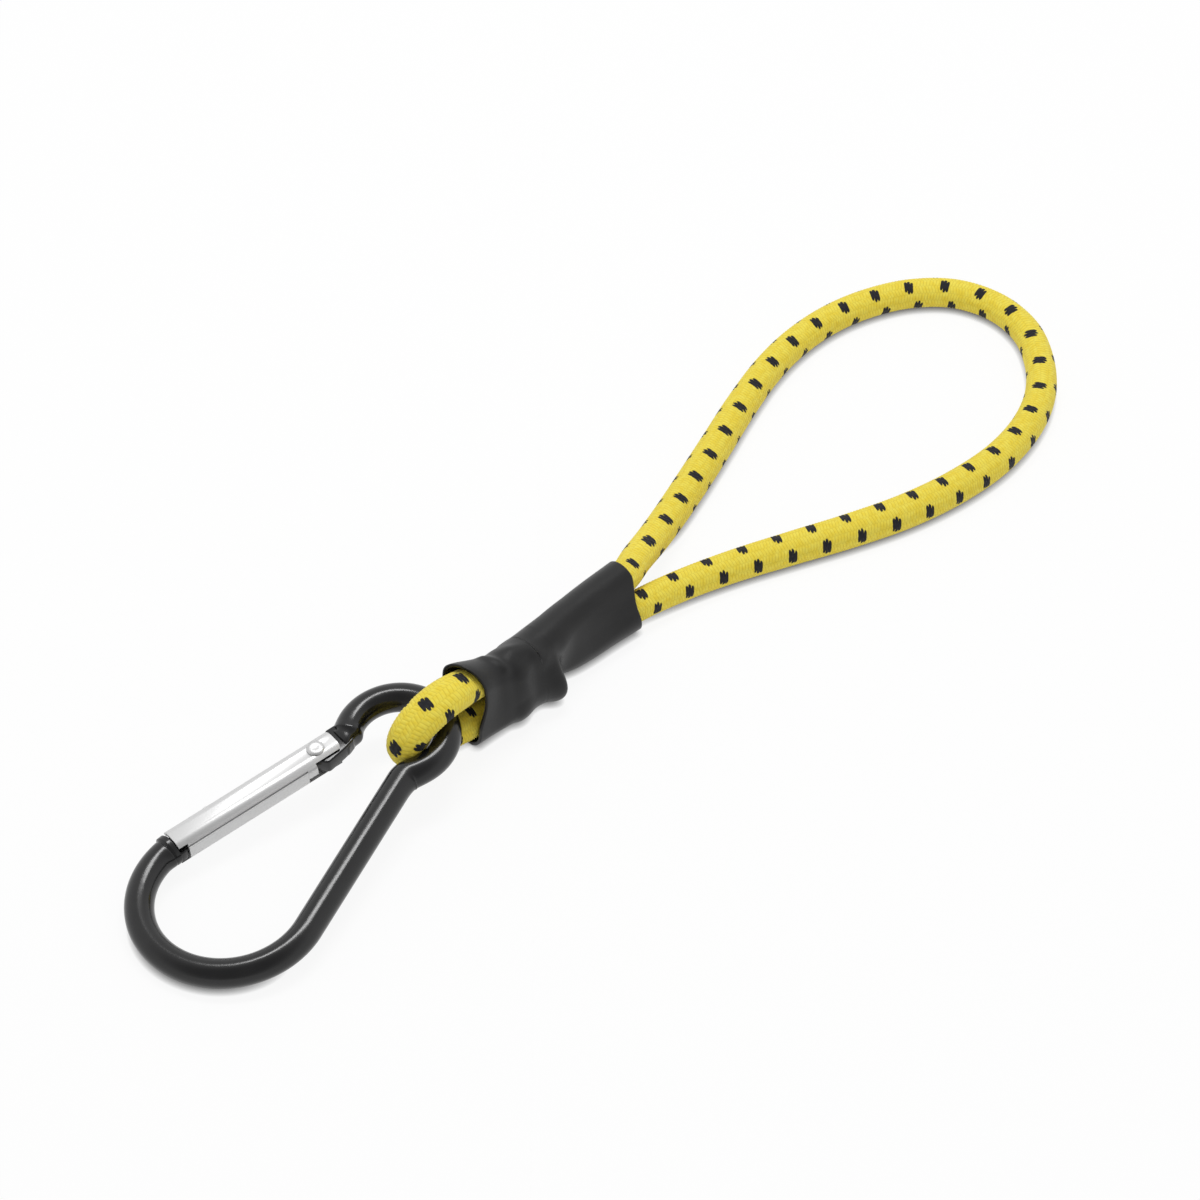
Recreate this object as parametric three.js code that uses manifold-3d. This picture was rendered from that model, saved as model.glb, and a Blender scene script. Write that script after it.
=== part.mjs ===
// Bungee tie: an elastic cord loop and a pear-shaped snap carabiner, joined in a shrink sleeve.
// Millimetres, +Z up. The origin lies on the table under the sleeve, and +X runs from the
// carabiner towards the loop.
import * as THREE from 'three';
import { mergeVertices } from 'three/addons/utils/BufferGeometryUtils.js';
import Module from 'manifold-3d';

// Clearances
const FIT = 0.3; // between the cord and what surrounds it
const METAL_FIT = 0.1; // between the rivet and what it carries

// Elastic cord: a braided sheath over a rubber core
const CORD_D = 6.2;
const SHEATH_BORE = 4.6;
const CORE_D = 3.6;

// Carabiner body: a bent rod, drawn in its own plane with the wide bow at its start
const ROD_D = 5.7;
const BOW_R = 16.8; // centreline radius of the wide end
const EYE_R = 9.54; // centreline radius of the small end
const EYE_X = 64.85; // from the bow's crown to the eye's centre
const FLANK_ANGLE = 13.4; // degrees that the spine and the gate lean in towards the eye
const WAIST_R = 3.6; // bend where a flank meets the eye
const CARABINER_AT = [-98.0, -2.7]; // the bow's crown
const CARABINER_YAW = 5.5;
const CARABINER_PITCH = 6.0; // the eye is lifted by the cord under it

// Gate: a folded aluminium channel on a rivet
const PIVOT_X = 51.8; // along the carabiner's axis
const GATE_W = 6.0;
const GATE_H = 5.8;
const GATE_CORNER_R = 2.0;
const GATE_SHEET = 0.7;
const GATE_EAR = 4.0; // how far the ears run past the rivet
const GATE_EAR_ROUND = 1.6;
const GATE_SEAM = 0.4; // width of the open fold
const GATE_SEAM_Z = 1.6;
const GATE_SIDE_CUT = 3.7; // where the inner wall starts, from the rivet
const GATE_TIP_CUT = 1.9; // the inner wall ends this far short of the tip
const NOSE_GAP = 0.4;

// Nose of the body, where the gate shuts
const NOSE_SETBACK = 1.6; // how far round the bow the rod is cut back
const NOSE_LOBE = 1.0; // how far the nose stands in past the rod
const NOSE_L = 2.4;
const NOSE_BEVEL = 0.4;
const NOSE_TONGUE_L = 3.6;
const NOSE_TONGUE_W = 3.6;
const NOSE_TONGUE_T = 2.4;

// Hinge of the gate
const RIVET_D = 2.0;
const RIVET_HEAD_D = 3.5;
const RIVET_HEAD_H = 0.9;
const HEEL_X = 1.8; // face of the hinge tongue that the plunger pushes on
const HEEL_Y = 4.2; // how far the hinge tongue stands in
const HEEL_BACK = 1.2; // the heel outside the gate starts here
const TONGUE_W = 7.0; // the rod is flattened to this width beside the ears
const TONGUE_EDGE = 5.4; // the wide part starts this far from the rivet
const NECK_R = 6.0; // the rod is full round outside this radius about the rivet

// Spring and plunger inside the gate
const PLUNGER_Y = 0.8; // offset from the rivet, towards the inside
const PLUNGER_D = 2.4;
const PLUNGER_L = 5.4;
const PLUNGER_STEM_D = 1.0;
const PLUNGER_STEM_L = 5.5;
const SPRING_MEAN_R = 1.05;
const SPRING_WIRE = 0.5;
const SPRING_CURLS = 11;
const SPRING_SEAT_X = 23.6;
const SPRING_SEAT_T = 0.8;

// Sleeve and the two wire rings that it covers
const SLEEVE_WALL = 0.7;
const RING_WIRE = 0.8;
const RING_GAP = 0.2; // between a ring and what it touches
const RING_OPENING = 3; // outline corners left open between a ring's ends
const RING_FRONT_X = -8.5;
const RING_REAR_X = -0.6;
const RING_LEVEL = 1.8; // the sleeve and its strands run level this far beside a ring
const MOUTH_FRONT_X = -19.2;
const MOUTH_REAR_X = 26.6;
const LIP_REACH = 2.0; // the front mouth runs further out on its far upper side
const LIP_FLARE = 0.9;
const LIP_ANGLE = 75;
const MOUTH_SLANT = 2.0; // the rear mouth is cut back on its near lower side
const SLANT_ANGLE = 215;
const END_ROOM = 1.1; // sleeve kept clear past a cord end
const BLUNT_END_X = 1.6;
const TAIL_END_X = -2.6;
const SHOULDER_X = 5.0; // the sleeve is down on two strands from here on
const SHOULDER_SLACK = 0.5;

// Facets
const ROD_SIDES = 14;
const CORD_SIDES = 12;
const CORE_SIDES = 8;
const SLEEVE_SIDES = 24;
const RING_SIDES = 6;
const LATHE_SIDES = 16;
const SPRING_STEPS = 8;
const SPRING_SIDES = 5;

const CORD_R = CORD_D / 2;
const ROD_R = ROD_D / 2;

// Heights of a strand's middle: on the table, inside the sleeve, and inside a ring in the sleeve
const LAID_Z = CORD_R;
const SLEEVED_Z = CORD_R + FIT + SLEEVE_WALL;
const RINGED_Z = CORD_R + RING_GAP + RING_WIRE + RING_GAP + SLEEVE_WALL;

// Cord route inside the sleeve. The lower strand starts at the cord's blunt first end.
const LOWER_STRAND = [
  [BLUNT_END_X, -2.9, RINGED_Z],
  [RING_REAR_X, -2.5, RINGED_Z],
  [-4.0, -1.8, RINGED_Z],
  [RING_FRONT_X + RING_LEVEL, -1.4, RINGED_Z],
  [RING_FRONT_X - RING_LEVEL, -1.3, RINGED_Z],
  [-14.0, -0.8, 4.5],
  [MOUTH_FRONT_X, 0.1, SLEEVED_Z],
];
const UPPER_STRAND = [
  [MOUTH_FRONT_X, -0.3, 15.4],
  [-14.0, -0.2, 13.8],
  [RING_FRONT_X, -0.6, 11.8],
  [-4.0, 0.0, 10.9],
  [RING_REAR_X, 0.3, 10.6],
  [BLUNT_END_X + END_ROOM, 0.7, 10.6],
  [SHOULDER_X, 1.0, 10.6],
  [8.0, 1.5, 10.5],
  [12.0, 2.0, 10.3],
  [18.0, 2.6, 9.9],
  [MOUTH_REAR_X, 3.2, 9.3],
];
const TAIL_STRAND = [
  [MOUTH_REAR_X, -0.5, SLEEVED_Z],
  [18.0, 0.0, SLEEVED_Z],
  [12.0, 0.3, SLEEVED_Z],
  [8.0, 0.8, 4.2],
  [SHOULDER_X, 2.0, 4.3],
  [BLUNT_END_X + END_ROOM, 3.3, 4.8],
  [BLUNT_END_X, 3.6, RINGED_Z],
  [RING_REAR_X, 3.9, RINGED_Z],
  [TAIL_END_X, 4.3, RINGED_Z],
];

// The eye's turn round the carabiner
const CROSSING_ANGLE = -26; // where the cord crosses the eye, from the carabiner's axis
const TURN_SLACK = 0.45; // above and below the rod
const TURN_REACH = 4.2; // beyond the rod, inside the eye
const TURN_LEAN = 1.0; // the upper strand stands nearer than the lower one
const TURN_STEPS = 8;

// Cord route of the free loop, from the upper strand round to the tail strand
const FAR_LEG = [
  [34.0, 6.4, 7.4],
  [41.5, 9.6, 5.0],
  [50.0, 13.0, 3.4],
  [60.0, 16.6, LAID_Z],
  [72.0, 21.0, LAID_Z],
  [84.0, 25.5, LAID_Z],
  [96.0, 29.2, LAID_Z],
];
const LOOP_BOW = [
  [106.0, 30.8, LAID_Z],
  [116.0, 30.6, LAID_Z],
  [125.5, 28.3, LAID_Z],
  [134.0, 24.0, LAID_Z],
  [140.6, 17.2, LAID_Z],
  [143.4, 8.4, LAID_Z],
  [142.2, -0.6, LAID_Z],
  [137.6, -8.4, LAID_Z],
  [130.6, -15.2, LAID_Z],
  [121.6, -19.8, LAID_Z],
  [110.0, -22.2, LAID_Z],
  [97.5, -21.8, LAID_Z],
];
const NEAR_LEG = [
  [85.0, -19.3, LAID_Z],
  [73.0, -15.2, LAID_Z],
  [61.0, -10.3, LAID_Z],
  [49.0, -5.6, 3.15],
  [38.0, -2.4, 3.5],
];

const wasm = await Module();
wasm.setup();

const rad = THREE.MathUtils.degToRad;
const FLANK = rad(FLANK_ANGLE);

/** Part of a smooth curve through placed points, stepped from one point to the next. */
class Stretch extends THREE.Curve {
  constructor(points, from = 0, to = points.length - 1) {
    super();
    this.whole = new THREE.CatmullRomCurve3(points);
    this.intervals = points.length - 1;
    this.from = from;
    this.to = to;
  }

  getPoint(t, target) {
    return this.whole.getPoint((this.from + (this.to - this.from) * t) / this.intervals, target);
  }

  getUtoTmapping(u) {
    return u;
  }

  steps() {
    return Math.round(this.to - this.from);
  }
}

/** A regular polygon's corners. */
function polygon(radius, sides) {
  const corners = [];
  for (let i = 0; i < sides; i += 1) {
    const angle = (i * 2 * Math.PI) / sides;
    corners.push(new THREE.Vector2(radius * Math.cos(angle), radius * Math.sin(angle)));
  }
  return corners;
}

/** A tube along a stretch. */
function sweep(stretch, radius, sides, boreRadius = 0) {
  const section = new THREE.Shape(polygon(radius, sides));
  if (boreRadius > 0) section.holes.push(new THREE.Path(polygon(boreRadius, sides)));
  return new THREE.ExtrudeGeometry(section, {
    steps: stretch.steps(),
    extrudePath: stretch,
    bevelEnabled: false,
  });
}

/** A flat outline, extruded to both sides of its plane. */
function plate(outline, thickness, bevel = 0) {
  const geometry = new THREE.ExtrudeGeometry(outline, {
    depth: thickness - 2 * bevel,
    bevelEnabled: bevel > 0,
    bevelThickness: bevel,
    bevelSize: bevel,
    bevelOffset: -bevel,
    bevelSegments: 2,
    curveSegments: 8,
  });
  return geometry.translate(0, 0, bevel - thickness / 2);
}

/** A box between two corners. */
function block(low, high) {
  const size = high.map((value, i) => value - low[i]);
  const middle = high.map((value, i) => (value + low[i]) / 2);
  return new THREE.BoxGeometry(...size).translate(...middle);
}

/** A round pin about Z through a point of the XY plane. */
function pin(radius, height, x = 0, y = 0) {
  return new THREE.CylinderGeometry(radius, radius, height, LATHE_SIDES).rotateX(Math.PI / 2).translate(x, y, 0);
}

/** A closed geometry as a solid for joining and cutting. */
function solid(geometry) {
  const bare = geometry.clone();
  bare.deleteAttribute('normal');
  bare.deleteAttribute('uv');
  const merged = mergeVertices(bare, 1e-4);
  return new wasm.Manifold(new wasm.Mesh({
    numProp: 3,
    vertProperties: new Float32Array(merged.attributes.position.array),
    triVerts: new Uint32Array(merged.index.array),
  }));
}

/** A solid's surface as a geometry. */
function surface(body) {
  const mesh = body.getMesh();
  const geometry = new THREE.BufferGeometry();
  geometry.setAttribute('position', new THREE.BufferAttribute(mesh.vertProperties, 3));
  geometry.setIndex(new THREE.BufferAttribute(mesh.triVerts, 1));
  geometry.computeVertexNormals();
  return geometry;
}

/** Points along a circle's arc, both ends included. */
function arc(centre, radius, from, to, steps) {
  const points = [];
  for (let i = 0; i <= steps; i += 1) {
    const angle = from + ((to - from) * i) / steps;
    points.push([centre[0] + radius * Math.cos(angle), centre[1] + radius * Math.sin(angle)]);
  }
  return points;
}

/** Where the carabiner stands on the table. */
function carabinerFrame() {
  const frame = new THREE.Group();
  frame.position.set(...CARABINER_AT, ROD_R);
  frame.rotation.set(0, -rad(CARABINER_PITCH), rad(CARABINER_YAW), 'ZYX');
  frame.updateMatrix();
  return frame;
}

// The flanks touch the bow here, so the rivet's place follows from how far along it stands.
const TANGENT = [BOW_R + BOW_R * Math.sin(FLANK), BOW_R * Math.cos(FLANK)];
const PIVOT_Y = TANGENT[1] - (PIVOT_X - TANGENT[0]) * Math.tan(FLANK);
const NOSE_X = (PIVOT_X - TANGENT[0]) / Math.cos(FLANK) + NOSE_SETBACK;
const GATE_TIP = NOSE_X - NOSE_GAP;

/** The gate's own frame: +X from the rivet to the tip, +Y to the inside of the carabiner. */
function gateFrame() {
  const frame = new THREE.Group();
  frame.position.set(PIVOT_X, PIVOT_Y, 0);
  frame.rotation.z = Math.PI - FLANK;
  frame.updateMatrix();
  return frame;
}

/** Centre of the bend between a flank and the eye, and where that bend starts on the flank. */
function waistBend() {
  const along = [Math.cos(FLANK), Math.sin(FLANK)];
  const outward = [Math.sin(FLANK), -Math.cos(FLANK)];
  const start = [TANGENT[0] + WAIST_R * outward[0] - EYE_X, -TANGENT[1] + WAIST_R * outward[1]];
  const half = start[0] * along[0] + start[1] * along[1];
  const square = start[0] ** 2 + start[1] ** 2 - (EYE_R + WAIST_R) ** 2;
  const run = -half - Math.sqrt(half ** 2 - square);
  const centre = [start[0] + EYE_X + run * along[0], start[1] + run * along[1]];
  return { centre, eyeAngle: Math.atan2(centre[1], centre[0] - EYE_X) };
}

/** The rod's middle line, from the nose round the bow, up the spine and round the eye. */
function rodLine() {
  const bend = waistBend();
  const flankAngle = Math.PI / 2 + FLANK;
  const eyeSide = bend.eyeAngle + Math.PI;
  const lowerBend = arc(bend.centre, WAIST_R, flankAngle, eyeSide, 4);
  const upperBend = lowerBend.map(([x, y]) => [x, -y]).reverse();
  const neck = [PIVOT_X + (NECK_R - 1) * Math.cos(FLANK), PIVOT_Y - (NECK_R - 1) * Math.sin(FLANK)];
  const line = [
    ...arc([BOW_R, 0], BOW_R, Math.PI / 2 - FLANK + NOSE_SETBACK / BOW_R, 1.5 * Math.PI + FLANK, 20),
    ...lowerBend,
    ...arc([EYE_X, 0], EYE_R, bend.eyeAngle, -bend.eyeAngle, 20).slice(1, -1),
    ...upperBend,
    neck,
  ];
  return new Stretch(line.map(([x, y]) => new THREE.Vector3(x, y, 0)));
}

/** Thickened end of the rod that the gate shuts against, in the gate's frame. */
function noseHead() {
  const inner = ROD_R + NOSE_LOBE;
  const outline = new THREE.Shape();
  outline.moveTo(NOSE_X, -ROD_R);
  outline.lineTo(NOSE_X + NOSE_L, -ROD_R + NOSE_BEVEL);
  outline.lineTo(NOSE_X + 2 * NOSE_L, ROD_R);
  outline.quadraticCurveTo(NOSE_X + NOSE_L, ROD_R + NOSE_LOBE / 2, NOSE_X + NOSE_L / 2, inner);
  outline.quadraticCurveTo(NOSE_X, inner, NOSE_X, ROD_R);
  outline.closePath();
  return plate(outline, ROD_D, NOSE_BEVEL);
}

/** Flat tongue on the nose that stands in the gate's open tip, in the gate's frame. */
function noseTongue() {
  const half = [NOSE_TONGUE_W / 2, NOSE_TONGUE_T / 2];
  return block([NOSE_X - NOSE_TONGUE_L, -half[0], -half[1]], [NOSE_X + NOSE_L / 2, half[0], half[1]]);
}

/** Flat tongue that the gate's ears straddle, in the gate's frame. */
function hingeTongue() {
  const bossR = GATE_W / 2 - GATE_SHEET - 2 * FIT;
  const thickness = GATE_H - 2 * GATE_SHEET - 3 * FIT;
  const half = TONGUE_W / 2;
  const root = -NECK_R - ROD_R / 2;
  const outline = new THREE.Shape();
  outline.moveTo(root, -bossR);
  outline.lineTo(root + FIT, -half);
  outline.lineTo(-TONGUE_EDGE, -half);
  outline.lineTo(-TONGUE_EDGE + FIT, -bossR);
  outline.lineTo(0, -bossR);
  outline.absarc(0, 0, bossR, -Math.PI / 2, -Math.PI / 4, false);
  outline.lineTo(HEEL_X, PLUNGER_Y - PLUNGER_D / 2);
  outline.lineTo(HEEL_X, PLUNGER_Y + PLUNGER_D / 2);
  outline.lineTo(HEEL_BACK, GATE_W / 2);
  outline.lineTo(HEEL_BACK, HEEL_Y - FIT);
  outline.lineTo(HEEL_BACK - 2 * FIT, HEEL_Y);
  outline.lineTo(-GATE_EAR, half);
  outline.lineTo(root + FIT, half - FIT);
  outline.lineTo(root, bossR);
  outline.closePath();
  return plate(outline, thickness);
}

/** Bent rod with its nose and hinge tongue. */
function carabinerBody() {
  const atGate = gateFrame().matrix;
  const place = (geometry) => solid(geometry.applyMatrix4(atGate));
  const rod = solid(sweep(rodLine(), ROD_R, ROD_SIDES)).subtract(place(pin(NECK_R, 2 * ROD_D)));
  const tongue = place(hingeTongue()).subtract(place(pin(RIVET_D / 2 + METAL_FIT, 2 * ROD_D)));
  return surface(rod.add(tongue).add(place(noseHead())).add(place(noseTongue())));
}

/** A rectangle with round corners, centred on the origin. */
function roundedBox(width, height, radius) {
  const x = width / 2 - radius;
  const y = height / 2 - radius;
  const outline = new THREE.Shape();
  outline.absarc(x, y, radius, 0, Math.PI / 2, false);
  outline.absarc(-x, y, radius, Math.PI / 2, Math.PI, false);
  outline.absarc(-x, -y, radius, Math.PI, 1.5 * Math.PI, false);
  outline.absarc(x, -y, radius, 1.5 * Math.PI, 2 * Math.PI, false);
  outline.closePath();
  return outline;
}

/** Outline of the gate from above: square at the tip, with a rounded ear at the rivet. */
function gateOutline() {
  const outline = new THREE.Shape();
  outline.moveTo(GATE_TIP, -GATE_W);
  outline.lineTo(GATE_TIP, GATE_W);
  outline.lineTo(GATE_EAR_ROUND - GATE_EAR, GATE_W);
  outline.lineTo(GATE_EAR_ROUND - GATE_EAR, GATE_W / 2);
  outline.quadraticCurveTo(-GATE_EAR, GATE_W / 2, -GATE_EAR, GATE_W / 2 - GATE_EAR_ROUND);
  outline.lineTo(-GATE_EAR, -GATE_W);
  outline.closePath();
  return outline;
}

/** The gate's section, taken in from its outside. */
function gateSection(inset) {
  return roundedBox(GATE_W - 2 * inset, GATE_H - 2 * inset, GATE_CORNER_R - inset);
}

/** A section of the gate, extruded between two distances along it. */
function gateLength(section, from, to) {
  const geometry = new THREE.ExtrudeGeometry(section, {
    depth: to - from,
    bevelEnabled: false,
    curveSegments: 4,
  });
  const along = new THREE.Matrix4().makeBasis(
    new THREE.Vector3(0, 1, 0),
    new THREE.Vector3(0, 0, 1),
    new THREE.Vector3(1, 0, 0),
  );
  return geometry.applyMatrix4(along).translate(from, 0, 0);
}

/** Folded channel with its seam, side and tip cuts, nose slot, rivet holes and spring seat. */
function gateShell() {
  const inside = [GATE_W / 2 - GATE_SHEET, GATE_H / 2 - GATE_SHEET];
  const channel = gateLength(gateSection(0), -1.5 * GATE_EAR, GATE_TIP + GATE_EAR);
  const hollow = gateLength(gateSection(GATE_SHEET), -2 * GATE_EAR, GATE_TIP + 2 * GATE_EAR);
  const seat = gateLength(gateSection(GATE_SHEET / 2), SPRING_SEAT_X, SPRING_SEAT_X + SPRING_SEAT_T);
  const seam = block(
    [-2 * GATE_EAR, inside[0] / 2, GATE_SEAM_Z - GATE_SEAM / 2],
    [GATE_TIP + GATE_EAR, GATE_W, GATE_SEAM_Z + GATE_SEAM / 2],
  );
  const sideCut = block([-2 * GATE_EAR, inside[0] / 2, -inside[1]], [GATE_SIDE_CUT, GATE_W, inside[1]]);
  const tipCut = block(
    [GATE_TIP - GATE_TIP_CUT, inside[0] / 2, -inside[1]],
    [GATE_TIP + GATE_EAR, GATE_W, inside[1]],
  );
  const slotHalf = NOSE_TONGUE_T / 2 + FIT;
  const noseSlot = block(
    [NOSE_X - NOSE_TONGUE_L - 2 * FIT, -GATE_W, -slotHalf],
    [GATE_TIP + GATE_EAR, 0, slotHalf],
  );
  return surface(
    solid(channel)
      .subtract(solid(hollow))
      .add(solid(seat))
      .intersect(solid(plate(gateOutline(), 2 * GATE_H)))
      .subtract(solid(seam))
      .subtract(solid(sideCut))
      .subtract(solid(tipCut))
      .subtract(solid(noseSlot))
      .subtract(solid(pin(RIVET_D / 2 + METAL_FIT, 2 * GATE_H))),
  );
}

/** A turned piece about X, from a profile of distance along and radius. */
function turned(profile) {
  const points = profile.map(([along, radius]) => new THREE.Vector2(radius, along));
  return new THREE.LatheGeometry(points, LATHE_SIDES).rotateZ(-Math.PI / 2);
}

/** A quarter-round cap's profile, from its crown to its rim. */
function domeProfile(crown, height, radius, steps = 4) {
  const profile = [];
  for (let i = 0; i <= steps; i += 1) {
    const angle = (i * Math.PI) / 2 / steps;
    profile.push([crown + height * (1 - Math.cos(angle)), radius * Math.sin(angle)]);
  }
  return profile;
}

/** Rivet with a domed head over each ear, about the hinge axis. */
function gateRivet() {
  const seat = GATE_H / 2 + METAL_FIT;
  const crown = -seat - RIVET_HEAD_H;
  const lower = domeProfile(crown, RIVET_HEAD_H, RIVET_HEAD_D / 2);
  const shank = [[-seat, RIVET_D / 2], [seat, RIVET_D / 2]];
  const upper = lower.map(([along, radius]) => [-along, radius]).reverse();
  return turned([...lower, ...shank, ...upper]).rotateY(-Math.PI / 2);
}

/** Round-nosed plunger that pushes on the hinge tongue's heel. */
function springPlunger() {
  const radius = PLUNGER_D / 2;
  const stem = PLUNGER_STEM_D / 2;
  const end = PLUNGER_L + PLUNGER_STEM_L;
  return turned([
    ...domeProfile(0, radius, radius),
    [PLUNGER_L, radius],
    [PLUNGER_L, stem],
    [end, stem],
    [end, 0],
  ]);
}

const PLUNGER_X = HEEL_X + FIT;
const SPRING_X = PLUNGER_X + PLUNGER_L + FIT + SPRING_WIRE / 2;
const SPRING_L = SPRING_SEAT_X - FIT - SPRING_WIRE / 2 - SPRING_X;

/** Points on the spring's middle line, along X. */
function springLine() {
  const points = [];
  for (let i = 0; i <= SPRING_CURLS * SPRING_STEPS; i += 1) {
    const turn = (i * 2 * Math.PI) / SPRING_STEPS;
    const along = (SPRING_L * i) / (SPRING_CURLS * SPRING_STEPS);
    points.push(new THREE.Vector3(along, SPRING_MEAN_R * Math.cos(turn), SPRING_MEAN_R * Math.sin(turn)));
  }
  return points;
}

/** Least gap between curls of a wound line, measured on points more than half a curl apart. */
function leastGap(points, wire) {
  let least = Infinity;
  for (let i = 0; i < points.length; i += 1) {
    for (let j = i + SPRING_STEPS / 2; j < points.length; j += 1) {
      least = Math.min(least, points[i].distanceTo(points[j]) - wire);
    }
  }
  return least;
}

/** Compression spring behind the plunger. */
function gateSpring() {
  return sweep(new Stretch(springLine()), SPRING_WIRE / 2, SPRING_SIDES);
}

/** Where a strand passes a station along X, or null well past its ends. */
function strandAt(strand, x) {
  const ends = [strand[0][0], strand[strand.length - 1][0]];
  const [low, high] = [Math.min(...ends), Math.max(...ends)];
  if (x < low - END_ROOM || x > high + END_ROOM) return null;
  const held = THREE.MathUtils.clamp(x, low, high);
  for (let i = 1; i < strand.length; i += 1) {
    const [a, b] = [strand[i - 1], strand[i]];
    const share = (held - a[0]) / (b[0] - a[0]);
    if (share >= 0 && share <= 1) return [a[1] + (b[1] - a[1]) * share, a[2] + (b[2] - a[2]) * share];
  }
  return null;
}

/** Tight outline round all the strands at a station, at a clearance from them, in Y and Z. */
function bundleOutline(x, clearance) {
  const strands = [LOWER_STRAND, UPPER_STRAND, TAIL_STRAND].map((strand) => strandAt(strand, x));
  const present = strands.filter((strand) => strand !== null);
  const step = (2 * Math.PI) / SLEEVE_SIDES;
  const reach = (k) => {
    const side = [Math.cos(k * step), Math.sin(k * step)];
    return Math.max(...present.map(([y, z]) => y * side[0] + z * side[1])) + CORD_R + clearance;
  };
  const corners = [];
  for (let k = 0; k < SLEEVE_SIDES; k += 1) {
    const [a, b] = [reach(k), reach(k + 1)];
    const [from, to] = [k * step, (k + 1) * step];
    const y = (a * Math.sin(to) - b * Math.sin(from)) / Math.sin(step);
    const z = (b * Math.cos(from) - a * Math.cos(to)) / Math.sin(step);
    corners.push([y, z]);
  }
  return corners;
}

/** Stations of the sleeve, each with the clearance that its wall keeps to the strands. */
function sleeveStations() {
  const overRing = RING_GAP + RING_WIRE + RING_GAP;
  const besideRing = RING_WIRE;
  const ringHalf = RING_WIRE / 2 + FIT;
  return [
    [MOUTH_FRONT_X, FIT],
    [-14.0, FIT],
    [RING_FRONT_X - 3 * ringHalf, 2 * FIT],
    [RING_FRONT_X - ringHalf, overRing],
    [RING_FRONT_X + ringHalf, overRing],
    [TAIL_END_X - END_ROOM - FIT, besideRing],
    [TAIL_END_X - END_ROOM, besideRing],
    [RING_REAR_X - RING_LEVEL, overRing],
    [BLUNT_END_X, overRing],
    [BLUNT_END_X + END_ROOM, besideRing],
    [SHOULDER_X, SHOULDER_SLACK],
    [8.0, FIT],
    [12.0, FIT],
    [18.0, FIT],
    [MOUTH_REAR_X, FIT],
  ];
}

/** One ring of the sleeve's corners: the front mouth has its lip, and the rear mouth is slanted. */
function sleeveRing(x, clearance) {
  const atFront = x === MOUTH_FRONT_X ? 1 : 0;
  const atRear = x === MOUTH_REAR_X ? 1 : 0;
  const middle = 1 / 2;
  return bundleOutline(x, clearance).map(([y, z], k) => {
    const angle = ((k + middle) * 2 * Math.PI) / SLEEVE_SIDES;
    const lip = atFront * Math.max(0, Math.cos(angle - rad(LIP_ANGLE))) ** 2;
    const slant = atRear * Math.max(0, Math.cos(angle - rad(SLANT_ANGLE)));
    return [
      x - LIP_REACH * lip - MOUTH_SLANT * slant,
      y + LIP_FLARE * lip * Math.cos(angle),
      z + LIP_FLARE * lip * Math.sin(angle),
    ];
  });
}

/** A tube with a wall, open at both ends, from matching rings of outer and inner corners. */
function openTube(outer, inner) {
  const sides = outer[0].length;
  const count = outer.length;
  const positions = [...outer, ...inner].flat(2);
  const index = [];
  const quad = (a, b, c, d) => index.push(a, b, c, c, b, d);
  for (let j = 0; j < sides; j += 1) {
    const next = (j + 1) % sides;
    const at = (ring, side) => ring * sides + side;
    for (let i = 0; i < count - 1; i += 1) {
      quad(at(i, j), at(i, next), at(i + 1, j), at(i + 1, next));
      quad(at(count + i, next), at(count + i, j), at(count + i + 1, next), at(count + i + 1, j));
    }
    quad(at(0, j), at(count, j), at(0, next), at(count, next));
    quad(at(count - 1, next), at(2 * count - 1, next), at(count - 1, j), at(2 * count - 1, j));
  }
  const geometry = new THREE.BufferGeometry();
  geometry.setAttribute('position', new THREE.Float32BufferAttribute(positions, 3));
  geometry.setIndex(index);
  geometry.computeVertexNormals();
  return geometry;
}

/** Shrunk sleeve over the strands and the rings. */
function shrinkSleeve() {
  const stations = sleeveStations();
  const inner = stations.map(([x, clearance]) => sleeveRing(x, clearance));
  const outer = stations.map(([x, clearance]) => sleeveRing(x, clearance + SLEEVE_WALL));
  return openTube(outer, inner);
}

/** Wire ring closed round the strands at a station, with its two ends apart. */
function crimpRing(x, firstCorner) {
  const outline = bundleOutline(x, RING_GAP + RING_WIRE / 2);
  const points = [];
  for (let k = 0; k <= SLEEVE_SIDES - RING_OPENING; k += 1) {
    points.push(new THREE.Vector3(x, ...outline[(firstCorner + k) % SLEEVE_SIDES]));
  }
  return sweep(new Stretch(points), RING_WIRE / 2, RING_SIDES);
}

/** The eye's turn round the rod, from the lower strand to the upper one. */
function eyeTurn() {
  const angle = rad(CROSSING_ANGLE);
  const crossing = new THREE.Vector3(EYE_X + EYE_R * Math.cos(angle), EYE_R * Math.sin(angle), 0);
  crossing.applyMatrix4(carabinerFrame().matrix);
  const reach = ROD_R + CORD_R + TURN_REACH;
  const rise = ROD_R + CORD_R + TURN_SLACK;
  const turn = [];
  for (let i = 0; i <= TURN_STEPS; i += 1) {
    const around = 1.5 * Math.PI - (i * Math.PI) / TURN_STEPS;
    const [out, up] = [Math.cos(around), Math.sin(around)];
    turn.push([crossing.x + reach * out, crossing.y - TURN_LEAN * up, crossing.z + rise * up]);
  }
  return turn;
}

const root = new THREE.Group();

/** Adds one named piece with its own material to a group. */
function piece(parent, name, geometry, color, roughness, metalness) {
  const material = new THREE.MeshStandardMaterial({ color, roughness, metalness });
  const mesh = new THREE.Mesh(geometry, material);
  mesh.name = name;
  parent.add(mesh);
  return mesh;
}

/** Adds a stretch of cord as its sheath and its core. */
function cord(name, stretch) {
  const sheath = sweep(stretch, CORD_R, CORD_SIDES, SHEATH_BORE / 2);
  piece(root, `${name}_sheath`, sheath, 0xdfca3f, 0.75, 0);
  piece(root, `${name}_core`, sweep(stretch, CORE_D / 2, CORE_SIDES), 0xcfc3a4, 0.6, 0);
}

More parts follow.
